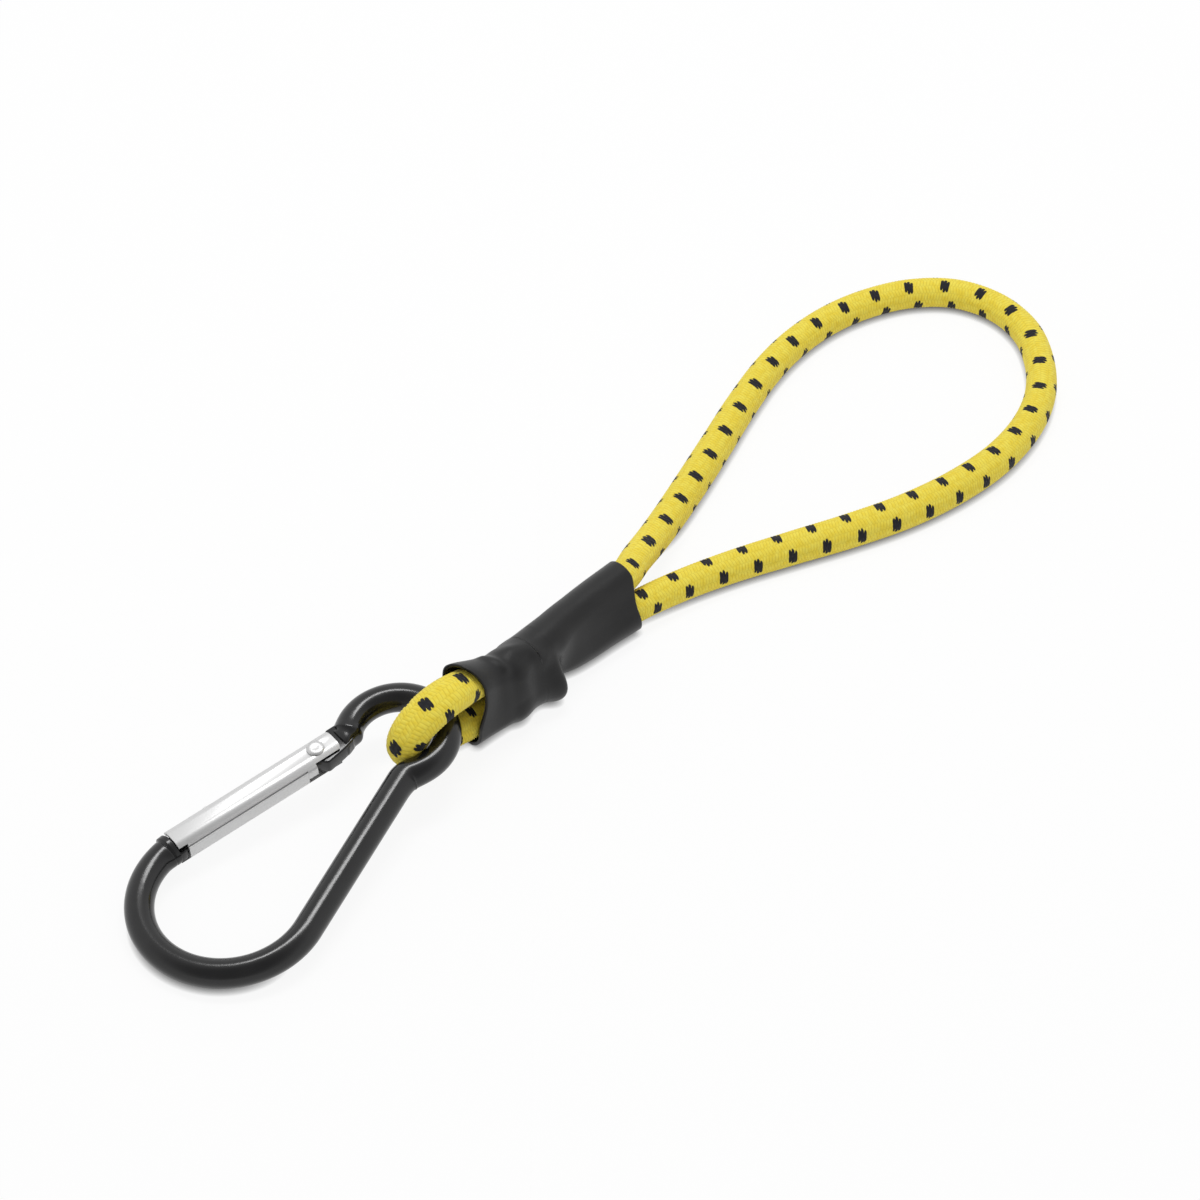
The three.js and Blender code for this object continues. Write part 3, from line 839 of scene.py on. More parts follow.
@dataclass(frozen=True)
class FloorFinish:
    """Pale floor like white paper, seen directly as a white glow, with a painted shadow that
    deepens close under the object over a faint real one.
    """

    colour: float = 0.93
    # Share of the white glow in what is seen directly; close under the object the glow is dimmed
    # into a painted shadow
    lift: float = 0.9
    painted_shadow_reach: float = 1.5 * MM
    painted_shadow_samples: int = 12

    def make(self) -> Material:
        """The floor's material.

        Returns:
            The new material.
        """
        sheet = FinishSheet("pale_floor")
        sheet.tree.nodes.remove(sheet.surface)
        paper = sheet.node("ShaderNodeBsdfDiffuse")
        sheet.feed(paper.inputs["Color"], grey(self.colour))
        # Painted shadow: the glow's strength follows ambient occlusion, so it darkens close under
        # the object
        painted_shadow = sheet.node("ShaderNodeAmbientOcclusion")
        painted_shadow.samples = self.painted_shadow_samples
        sheet.feed(painted_shadow.inputs["Distance"], self.painted_shadow_reach)
        white = sheet.node("ShaderNodeEmission")
        sheet.link(painted_shadow.outputs["AO"], white.inputs["Strength"])
        mix = sheet.node("ShaderNodeMixShader")
        sheet.feed(mix.inputs["Fac"], sheet.math("MULTIPLY", sheet.seen_directly(), self.lift))
        sheet.link(paper.outputs["BSDF"], mix.inputs[1])
        sheet.link(white.outputs["Emission"], mix.inputs[2])
        sheet.link(mix.outputs["Shader"], sheet.output.inputs["Surface"])
        return sheet.material


# The elastic cord


@dataclass(frozen=True)
class CordRoute:
    """The whole cord's route: round the eye, through the sleeve, round the loop and back."""

    lower_strand: tuple[Point, ...] = (
        (0.0016, -0.0029, 0.0050),
        (-0.0006, -0.0025, 0.0050),
        (-0.0040, -0.0018, 0.0050),
        (-0.0067, -0.0014, 0.0050),
        (-0.0103, -0.0013, 0.0050),
        (-0.0140, -0.0008, 0.0045),
        (-0.0192, 0.0001, 0.0041),
    )
    turn_centre: Point = (-0.024913, 0.000136, 0.010525)
    turn_reach: float = 0.01015
    turn_rise: float = 0.0064
    turn_lean: float = 0.0010
    turn_steps: int = 8
    upper_strand: tuple[Point, ...] = (
        (-0.0192, -0.0003, 0.0154),
        (-0.0140, -0.0002, 0.0138),
        (-0.0085, -0.0006, 0.0118),
        (-0.0040, 0.0000, 0.0109),
        (-0.0006, 0.0003, 0.0106),
        (0.0027, 0.0007, 0.0106),
        (0.0050, 0.0010, 0.0106),
        (0.0080, 0.0015, 0.0105),
        (0.0120, 0.0020, 0.0103),
        (0.0180, 0.0026, 0.0099),
        (0.0266, 0.0032, 0.0093),
    )
    free_loop: tuple[Point, ...] = (
        (0.0340, 0.0064, 0.0074),
        (0.0415, 0.0096, 0.0050),
        (0.0500, 0.0130, 0.0034),
        (0.0600, 0.0166, 0.0031),
        (0.0720, 0.0210, 0.0031),
        (0.0840, 0.0255, 0.0031),
        (0.0960, 0.0292, 0.0031),
        (0.1060, 0.0308, 0.0031),
        (0.1160, 0.0306, 0.0031),
        (0.1255, 0.0283, 0.0031),
        (0.1340, 0.0240, 0.0031),
        (0.1406, 0.0172, 0.0031),
        (0.1434, 0.0084, 0.0031),
        (0.1422, -0.0006, 0.0031),
        (0.1376, -0.0084, 0.0031),
        (0.1306, -0.0152, 0.0031),
        (0.1216, -0.0198, 0.0031),
        (0.1100, -0.0222, 0.0031),
        (0.0975, -0.0218, 0.0031),
        (0.0850, -0.0193, 0.0031),
        (0.0730, -0.0152, 0.0031),
        (0.0610, -0.0103, 0.0031),
        (0.0490, -0.0056, 0.00315),
        (0.0380, -0.0024, 0.0035),
    )
    tail_strand: tuple[Point, ...] = (
        (0.0266, -0.0005, 0.0041),
        (0.0180, 0.0000, 0.0041),
        (0.0120, 0.0003, 0.0041),
        (0.0080, 0.0008, 0.0042),
        (0.0050, 0.0020, 0.0043),
        (0.0027, 0.0033, 0.0048),
        (0.0016, 0.0036, 0.0050),
        (-0.0006, 0.0039, 0.0050),
        (-0.0026, 0.0043, 0.0050),
    )
    steps: int = 40

    def eye_turn(self) -> list[Point]:
        """The turn round the carabiner's rod, from under it to over it.

        Returns:
            Points along the cord's middle line.
        """
        x, y, z = self.turn_centre
        places = []
        for i in range(self.turn_steps + 1):
            angle = 1.5 * math.pi - i * math.pi / self.turn_steps
            out, up = math.cos(angle), math.sin(angle)
            lean, rise = self.turn_lean * up, self.turn_rise * up
            places.append((x + self.turn_reach * out, y - lean, z + rise))
        return places

    def whole(self) -> Line:
        """The cord's whole middle line."""
        places = [*self.lower_strand, *self.eye_turn(), *self.upper_strand]
        return Line.through([*places, *self.free_loop, *self.tail_strand], self.steps)

    def rear_mouth(self, line: Line) -> Pair:
        """How far along the cord it leaves the sleeve's rear mouth, and comes back to it.

        Args:
            line: The cord's whole middle line.

        Returns:
            The two distances.
        """
        leaves = len(self.lower_strand) + self.turn_steps + len(self.upper_strand)
        returns = leaves + len(self.free_loop) + 1
        return float(line.lengths[leaves * self.steps]), float(line.lengths[returns * self.steps])

    def strand(self, places: tuple[Point, ...], x: Array) -> Array:
        """Where a strand inside the sleeve passes stations along X.

        Args:
            places: The strand's placed points.
            x: The stations.

        Returns:
            Y and Z of the strand at each station, held at its ends.
        """
        points = Line.through(list(places)).points
        stations, *others = points[np.argsort(points[:, 0])].T
        return np.stack([np.interp(x, stations, other) for other in others], axis=-1)


@dataclass(frozen=True)
class Drift:
    """A hump in how the braid lies along the cord."""

    at: float
    spread: float
    size: float

    def along(self, distance: Array) -> Array:
        """The hump's size at distances along the cord."""
        return self.size * hump(self.at, self.spread, distance)


def summed(drifts: tuple[Drift, ...], distance: Array) -> Array:
    """Several humps together, at distances along the cord."""
    return sum((drift.along(distance) for drift in drifts), np.zeros_like(distance))


@dataclass
class BraidedRun:
    """One run of cord: a braided sheath over a core of rubber strands."""

    name: str
    line: Line
    start: float
    end: float
    lean: Point
    sheath_nodes: tuple[str, ...]
    core_nodes: tuple[str, ...]
    first_fleck: float
    drawn_out: tuple[Drift, ...] = ()
    turn: float = 0.0
    twists: tuple[Drift, ...] = ()
    stitches: Stitches = Stitches()
    crest_radius: float = 3.1 * MM
    relief: float = 0.14 * MM
    swells: tuple[Drift, ...] = ()
    pressed: tuple[Drift, ...] = ()
    sides_per_column: int = 5
    samples_per_rib: int = 4
    core_radius: float = 1.8 * MM
    core_lobes: int = 7
    sides_per_lobe: int = 4
    core_lobe_depth: float = 0.14 * MM
    core_step: float = 0.8 * MM
    core_twist: float = 0.12
    end_round: float = 0.5 * MM

    def sheath(self) -> tuple[Object, Line]:
        """Builds the braided sheath.

        Returns:
            The sheath, with its stitch map, and the middle line that it follows.
        """
        step = self.stitches.rib / self.samples_per_rib
        path = self.line.part(self.start, self.end, step)
        slack = summed(self.drawn_out, path.lengths)
        ribs = (path.lengths - self.first_fleck - slack) / self.stitches.rib
        sides = self.stitches.columns * self.sides_per_column
        columns = np.arange(sides) / self.sides_per_column
        height = self.stitches.relief(ribs[:, None], columns[None, :])
        swell = summed(self.swells, path.lengths)
        radii = self.crest_radius + swell[:, None] - self.relief * (1.0 - height)
        inset = np.minimum(path.lengths, path.length - path.lengths)
        short = 1.0 - np.clip(inset / self.end_round, 0.0, 1.0)
        shoulder = np.sqrt(1.0 - short**2)
        radii = radii - self.end_round * (1.0 - shoulder[:, None])
        lay = summed(self.twists, path.lengths)
        turns = around(sides)[None, :] + np.radians(self.turn + lay)[:, None]
        wide = summed(self.pressed, path.lengths)
        radii = radii + wide[:, None] * np.cos(turns) ** 2
        rings = path.rings(radii, turns, self.lean)
        rings[..., 2] = np.maximum(rings[..., 2], TABLE)
        piece = add_piece(f"{self.name}_braid", rings, tube_faces(len(rings), sides))
        self.map_stitches(piece, ribs, sides)
        return piece, path

    def map_stitches(self, piece: Object, ribs: Array, sides: int) -> None:
        """Lays the stitch map on a sheath: ribs along it, and turns round it.

        Args:
            piece: The sheath.
            ribs: Number of ribs at each ring.
            sides: Points in each ring.
        """
        corners = np.zeros((len(ribs) - 1, sides, 4, 2))
        corners[:, :, 0, 0] = corners[:, :, 1, 0] = ribs[:-1, None]
        corners[:, :, 2, 0] = corners[:, :, 3, 0] = ribs[1:, None]
        corners[:, :, 0, 1] = corners[:, :, 3, 1] = np.arange(sides) / sides
        corners[:, :, 1, 1] = corners[:, :, 2, 1] = (np.arange(sides) + 1) / sides
        caps = np.zeros((2 * sides, 2))
        caps[:sides, 0], caps[sides:, 0] = ribs[0], ribs[-1]
        layer = piece.data.uv_layers.new(name=BRAID_MAP)
        layer.data.foreach_set("uv", np.vstack([corners.reshape(-1, 2), caps]).ravel())

    def core(self) -> Object:
        """Builds the core, a bundle of strands that turn slowly about its middle.

        Returns:
            The new piece.
        """
        path = self.line.part(self.start, self.end, self.core_step)
        sides = self.sides_per_lobe * self.core_lobes
        lobes = np.abs(np.cos(around(sides) * self.core_lobes / 2.0))
        bundle = self.core_radius - self.core_lobe_depth * (1.0 - lobes)
        radii = np.tile(bundle, (len(path.points), 1))
        twist = path.lengths / self.core_radius * self.core_twist
        rings = path.rings(radii, around(sides)[None, :] + twist[:, None], self.lean)
        return add_piece(f"{self.name}_strands", rings, tube_faces(len(rings), sides))

    def build(self, braid: Material, rubber: Material) -> list[Object]:
        """Builds the run's two pieces and dresses them.

        Args:
            braid: Material of the sheath.
            rubber: Material of the core.

        Returns:
            The sheath and the core.
        """
        sheath, path = self.sheath()
        core = self.core()
        dress(sheath, braid, Slot.SHEATH, *self.sheath_nodes)
        dress(core, rubber, Slot.CORE, *self.core_nodes)
        self.carry(sheath, core, path)
        return [sheath, core]

    def carry(self, sheath: Object, core: Object, path: Line) -> None:
        """Lets the run ride on the sleeve.

        Args:
            sheath: The braided sheath.
            core: The core in it.
            path: The middle line that the sheath follows.
        """
        for piece in (sheath, core):
            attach(piece, Body.SLEEVE.value)


@dataclass
class ElasticLoop(BraidedRun):
    """The free loop, which stretches away from the sleeve."""

    diameter: float = 6.2 * MM
    stretch_from: Point = (0.032, 0.0, 0.0)
    stretch_to: Point = (0.098, 0.0, 0.0)
    exit: Point = (0.0266, 0.0032, 0.0093)

    def carry(self, sheath: Object, core: Object, path: Line) -> None:
        """Args:
            sheath: The braided sheath, which is the cord.
            core: The core in it.
            path: The middle line that the sheath follows.
        """
        for piece in (sheath, core):
            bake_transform(piece)


# The sleeve


@dataclass(frozen=True)
class Stroke:
    """A fold or a dent drawn on the sleeve along a few points."""

    places: tuple[Point, ...]
    width: float
    height: float

    def lift(self, points: Array) -> Array:
        """How far the stroke lifts points of the surface.

        Args:
            points: Points of the surface, along any number of axes.

        Returns:
            The lift at each point, below 0 in a dent.
        """
        nearest = np.full(points.shape[:-1], np.inf)
        given = np.array(self.places, float)
        for a, b in zip(given, given[1:]):
            run = b - a
            share = np.clip(((points - a) @ run) / (run @ run), 0.0, 1.0)
            away = np.linalg.norm(points - a - share[..., None] * run, axis=-1)
            nearest = np.minimum(nearest, away)
        return self.height * hump(0.0, self.width, nearest)


@dataclass
class ShrinkSleeve:
    """The shrunk tube over the cord's joint, and the two wire rings under it."""

    route: CordRoute
    cord_radius: float = 3.1 * MM
    wall: float = 0.7 * MM
    front: float = -19.2 * MM
    rear: float = 26.6 * MM
    step: float = 0.25 * MM
    sides: int = 192
    # Clearance from the strands at stations along the sleeve, below them and then above them
    room: tuple[Pair, ...] = (
        (-0.0192, 0.00045),
        (-0.0140, 0.0004),
        (-0.0108, 0.0006),
        (-0.0094, 0.0012),
        (-0.0076, 0.0012),
        (-0.0050, 0.0004),
        (-0.0022, 0.0004),
        (-0.0004, 0.0012),
        (0.0010, 0.0012),
        (0.0027, 0.0008),
        (0.0050, 0.0005),
        (0.0080, 0.0003),
        (0.0266, 0.0003),
    )
    top_room: tuple[Pair, ...] = (
        (-0.0192, 0.0004),
        (-0.0140, 0.0003),
        (-0.0108, 0.0006),
        (-0.0090, 0.0012),
        (-0.0060, 0.0012),
        (0.0000, 0.0011),
        (0.0060, 0.0007),
        (0.0120, 0.0004),
        (0.0266, 0.0003),
    )
    top_share: Pair = (-0.2, 0.8)
    samples: int = 720
    room_blur: float = 2.5
    corner_blur: float = 5.0
    blunt_end: float = 1.4 * MM
    blunt_fall: float = 2.3
    blunt_round: float = 0.35 * MM
    tail_end: float = -2.9 * MM
    tail_fall: float = 0.8
    lip_reach: float = 1.8 * MM
    lip_flare: float = 1.25 * MM
    lip_angle: float = 68.0
    lip_power: int = 4
    lip_length: float = 7.5 * MM
    scoop: float = 1.6 * MM
    scoop_angle: float = 130.0
    scoop_length: float = 7.0 * MM
    mouth_flare: float = 0.15 * MM
    mouth_length: float = 4.0 * MM
    slant: float = 2.2 * MM
    slant_angle: float = 190.0
    slant_length: float = 9.0 * MM
    strokes: tuple[Stroke, ...] = (
        Stroke(
            ((-0.0070, -0.0002, 0.0160), (-0.0040, -0.0015, 0.0153), (-0.0022, -0.0044, 0.0131)),
            width=1.8 * MM,
            height=0.50 * MM,
        ),
        Stroke(
            ((0.0028, -0.0043, 0.0122), (0.0032, -0.0052, 0.0105), (0.0032, -0.0056, 0.0090)),
            width=2.0 * MM,
            height=-0.25 * MM,
        ),
        Stroke(
            ((-0.0127, 0.0016, 0.0172), (-0.0117, -0.0006, 0.0172), (-0.0111, -0.0030, 0.0163)),
            width=1.1 * MM,
            height=0.35 * MM,
        ),
        Stroke(
            ((-0.0098, -0.0040, 0.0146), (-0.0094, -0.0056, 0.0112), (-0.0090, -0.0062, 0.0080)),
            width=1.8 * MM,
            height=-0.35 * MM,
        ),
    )
    rim_bulge: float = 0.21
    rim_shares: tuple[float, ...] = (0.12, 0.35, 0.65, 0.88)
    ring_wire: float = 0.8 * MM
    ring_fit: float = 0.2 * MM
    ring_open: float = 0.12
    ring_start: float = 0.4
    ring_point: float = 0.7
    ring_sides: int = 12
    ring_places: tuple[tuple[str, float], ...] = (
        ("front_ring", -8.5 * MM),
        ("rear_ring", -0.6 * MM),
    )

    def outlines(self, x: Array, room: Array) -> Array:
        """Tight outlines round the strands.

        Args:
            x: Stations along the sleeve.
            room: Clearance from the strands at each station, below and above.

        Returns:
            Y and Z of points round each station, evenly spaced from its underside.
        """
        angles = around(self.samples)
        past_blunt_end = (x - self.blunt_end) / self.blunt_round
        blunt_fall = self.blunt_fall * self.blunt_round * np.logaddexp(0.0, past_blunt_end)
        tail_fall = self.tail_fall * np.maximum(0.0, self.tail_end - x)
        falls = (
            (self.route.lower_strand, blunt_fall),
            (self.route.upper_strand, np.zeros_like(x)),
            (self.route.tail_strand, tail_fall),
        )
        reach = np.full((len(x), len(angles)), -np.inf)
        for places, fall in falls:
            strand = self.route.strand(places, x)
            out = strand[:, :1] * np.cos(angles) + strand[:, 1:] * np.sin(angles) - fall[:, None]
            reach = np.maximum(reach, out)
        above = smoothstep(*self.top_share, np.sin(angles))[None, :]
        clear = room[:, :1] * (1.0 - above) + room[:, 1:] * above
        reach = blurred_round(reach, self.corner_blur) + self.cord_radius + clear
        slope = (np.roll(reach, -1, axis=1) - np.roll(reach, 1, axis=1)) / (2.0 * angles[1])
        y = reach * np.cos(angles) - slope * np.sin(angles)
        z = reach * np.sin(angles) + slope * np.cos(angles)
        return np.stack([self.evened(np.stack([a, b], axis=-1)) for a, b in zip(y, z)])

    def evened(self, ring: Array) -> Array:
        """A closed outline with its points evenly spaced, from its underside.

        Args:
            ring: Points of the outline.

        Returns:
            As many points as the sleeve has sides.
        """
        ring = np.roll(ring, -int(3 * len(ring) / 4), axis=0)
        line = Line.of(np.vstack([ring, ring[:1]]))
        return line.at(np.linspace(0.0, line.length, self.sides, endpoint=False))

    def skin(self, extra: float) -> Array:
        """The sleeve's surface, from its front mouth to its rear one.

        Args:
            extra: Distance outside the bore.

        Returns:
            Points by station, by side and by axis.
        """
        count = int(round((self.rear - self.front) / self.step)) + 1
        x = np.linspace(self.front, self.rear, count)
        flare = extra + self.mouth_flare * smoothstep(self.mouth_length, 0.0, x - self.front)
        below, above = (np.array(stations).T for stations in (self.room, self.top_room))
        rooms = [blurred_along(np.interp(x, *table), self.room_blur) for table in (below, above)]
        outline = self.outlines(x, np.stack(rooms, axis=-1) + flare[:, None])
        points = np.concatenate([np.repeat(x[:, None, None], self.sides, axis=1), outline], axis=-1)
        out = unit(outline - outline.mean(axis=1, keepdims=True))

        def towards(angle: float, length: float, inside: Array) -> Array:
            """1 at a mouth on the side of an angle, fading round it and over a length inside it."""
            return np.maximum(0.0, out @ pointing(angle)) * smoothstep(length, 0.0, inside)[:, None]

        scoop = towards(self.scoop_angle, self.scoop_length, x - self.front)
        back = towards(self.slant_angle, self.slant_length, self.rear - x)
        lip = np.maximum(0.0, out @ pointing(self.lip_angle)) ** self.lip_power
        lip *= smoothstep(self.lip_length, 0.0, x - self.front)[:, None]
        points[..., 0] -= self.lip_reach * lip + self.slant * back - self.scoop * scoop
        points[..., 1:] += self.lip_flare * lip[..., None] * out
        return points

    def folded(self, points: Array) -> Array:
        """The surface with its folds and dents raised.

        Args:
            points: The plain surface, by station, by side and by axis.

        Returns:
            The folded surface in the same order.
        """
        along = np.gradient(points, axis=0)
        round_ring = (np.roll(points, -1, axis=1) - np.roll(points, 1, axis=1)) / 2.0
        out = unit(np.cross(round_ring, along))
        lift = sum((stroke.lift(points) for stroke in self.strokes), np.zeros(points.shape[:-1]))
        surface = points + lift[..., None] * out
        surface[..., 2] = np.maximum(surface[..., 2], TABLE)
        return surface

    def tube(self) -> Object:
        """Builds the tube with its wall and its two round rims.

        Returns:
            The new piece.
        """
        outer = self.folded(self.skin(self.wall))
        inner = self.folded(self.skin(0.0))

        def rim(a: Array, b: Array, outward: float) -> list[Array]:
            """Rings of a round rim between an outer ring and an inner one."""
            bulge = np.array([outward * self.rim_bulge * self.wall, 0.0, 0.0])
            return [a + (b - a) * t + bulge * math.sin(math.pi * t) for t in self.rim_shares]

        rear, front = rim(outer[-1], inner[-1], 1.0), rim(inner[0], outer[0], -1.0)
        rings = np.array([*outer, *rear, *inner[::-1], *front])
        return add_piece("shrink_tube", rings, tube_faces(len(rings), self.sides, closed=True))

    def ring(self, name: str, x: float) -> Object:
        """Builds one wire ring, with its two ends apart.

        Args:
            name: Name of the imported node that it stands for.
            x: Its station.

        Returns:
            The ring.
        """
        room = np.full((1, 2), self.ring_fit + self.ring_wire / 2.0)
        outline = self.outlines(np.array([x]), room)[0]
        trim = int(len(outline) * self.ring_open) // 2
        outline = np.roll(outline, -int(len(outline) * self.ring_start), axis=0)
        wire = outline[trim : len(outline) - trim]
        line = Line.of(np.column_stack([np.full(len(wire), x), wire]))
        radius = self.ring_wire / 2.0
        ends = np.minimum(line.lengths, line.length - line.lengths)
        radii = radius * (self.ring_point + (1.0 - self.ring_point) * smoothstep(0.0, radius, ends))
        turns = around(self.ring_sides)[None, :]
        rings = line.rings(np.tile(radii[:, None], (1, self.ring_sides)), turns, (1.0, 0.0, 0.0))
        return add_piece(f"{name}_wire", rings, tube_faces(len(rings), self.ring_sides))

    def build(self, tube: Material, wire: Material) -> list[Object]:
        """Builds the tube and the rings and dresses them.

        Args:
            tube: Material of the tube.
            wire: Material of the rings.

        Returns:
            The pieces, which ride on the sleeve.
        """
        pieces = [self.tube()]
        dress(pieces[0], tube, Slot.SLEEVE, "shrink_sleeve")
        for name, x in self.ring_places:
            pieces.append(self.ring(name, x))
            dress(pieces[-1], wire, Slot.RING, name)
        return [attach(piece, Body.SLEEVE.value) for piece in pieces]


# The carabiner

BEVEL_TURNS = (90.0, 60.0, 30.0, 0.0)
LEAST_MITRE = 0.5
CORNER_REACH = 0.45


def plate(outline: list[Pair], thickness: float, bevel: float) -> Skin:
    """A flat plate with softened edges, about its middle plane.

    Args:
        outline: Corners of the plate, turning to the left.
        thickness: Its thickness.
        bevel: Size of the softened edge.

    Returns:
        Its points and faces.
    """
    corners = np.array(outline, float)
    before = unit(corners - np.roll(corners, 1, axis=0))
    after = unit(np.roll(corners, -1, axis=0) - corners)
    inward = np.stack([-(before + after)[:, 1], (before + after)[:, 0]], axis=-1)
    mitre = (inward * inward).sum(axis=1, keepdims=True) / 2.0
    inward = inward / np.maximum(LEAST_MITRE, mitre)
    half = 0.5 * thickness - bevel
    turns = [math.radians(a) for a in BEVEL_TURNS]
    edge = [(half + bevel * math.sin(a), bevel * (1.0 - math.cos(a))) for a in turns]
    levels = [(-z, inset) for z, inset in edge] + edge[::-1]
    rings = [
        np.column_stack([corners + inward * inset, np.full(len(corners), z)])
        for z, inset in levels
    ]
    return np.array(rings), tube_faces(len(rings), len(corners))


def softened(outline: list[Pair], size: float, steps: int = 4) -> list[Pair]:
    """An outline with its corners rounded.

    Args:
        outline: Its corners in order.
        size: Reach of the rounding on each side of a corner, where the edges are long enough.
        steps: Steps along each rounding.

    Returns:
        The points of the rounded outline.
    """
    corners = np.array(outline, float)
    rounded = []
    befores, afters = np.roll(corners, 1, axis=0), np.roll(corners, -1, axis=0)
    for before, corner, after in zip(befores, corners, afters):
        back, on = before - corner, after - corner
        a = corner + back * min(CORNER_REACH, size / np.linalg.norm(back))
        b = corner + on * min(CORNER_REACH, size / np.linalg.norm(on))
        share = np.linspace(0.0, 1.0, steps + 1)[:, None]
        curve = a * (1 - share) ** 2 + 2 * corner * share * (1 - share) + b * share**2
        rounded += [tuple(point) for point in curve]
    return rounded


def from_mm(outline: tuple[Pair, ...]) -> list[Pair]:
    """An outline given in millimetres, in metres."""
    return [(a * MM, b * MM) for a, b in outline]


def rectangle(low: Pair, high: Pair) -> list[Pair]:
    """The corners of a rectangle between its lowest and its highest one, turning to the left."""
    return [low, (high[0], low[1]), high, (low[0], high[1])]


def raised(skin: Skin, height: float) -> Skin:
    """A skin moved upwards."""
    points, faces = skin
    return points + height * np.array(UP), faces


def prism(outline: list[Pair], low: float, high: float) -> Skin:
    """A plain prism up from an outline in X and Y.

    Args:
        outline: Its corners, turning to the left.
        low: Height of its foot.
        high: Height of its top.

    Returns:
        Its points and faces.
    """
    corners = np.array(outline, float)
    rings = [np.column_stack([corners, np.full(len(corners), z)]) for z in (low, high)]
    return np.array(rings), tube_faces(2, len(corners))


def bar(outline: list[Pair], low: float, high: float) -> Skin:
    """A plain bar along X over an outline in Y and Z."""
    points, faces = prism(outline, low, high)
    return points.reshape(-1, 3)[:, [2, 0, 1]], faces


def turned(profile: list[Pair], sides: int = 40) -> Skin:
    """A turned piece about Z.

    Args:
        profile: Height and radius from one end to the other.
        sides: Sides round it.

    Returns:
        Its points and faces.
    """
    angles = around(sides)
    rings = [
        np.column_stack([radius * np.cos(angles), radius * np.sin(angles), np.full(sides, height)])
        for height, radius in profile
    ]
    return np.array(rings), tube_faces(len(rings), sides)


def dome(radius: float, steps: int = 8, first: float = 0.35) -> list[Pair]:
    """Half a ball's profile, from near its crown to its rim.

    Args:
        radius: Its radius.
        steps: Steps from its first ring to its rim.
        first: How many steps the first ring lies beside the crown.

    Returns:
        Distance from the crown and radius of each ring.
    """
    angles = [0.5 * math.pi * (i + first) / (steps + first) for i in range(steps + 1)]
    return [(radius * (1.0 - math.cos(a)), radius * math.sin(a)) for a in angles]


def arc(centre: Pair, radius: float, start: float, end: float, steps: int) -> list[Pair]:
    """Points along a circle's arc, both ends included.

    Args:
        centre: The circle's middle.
        radius: Its radius.
        start: Angle of the first point, in radians.
        end: Angle of the last point.
        steps: Steps between them.

    Returns:
        The points.
    """
    angles = [start + (end - start) * i / steps for i in range(steps + 1)]
    return [(centre[0] + radius * math.cos(a), centre[1] + radius * math.sin(a)) for a in angles]


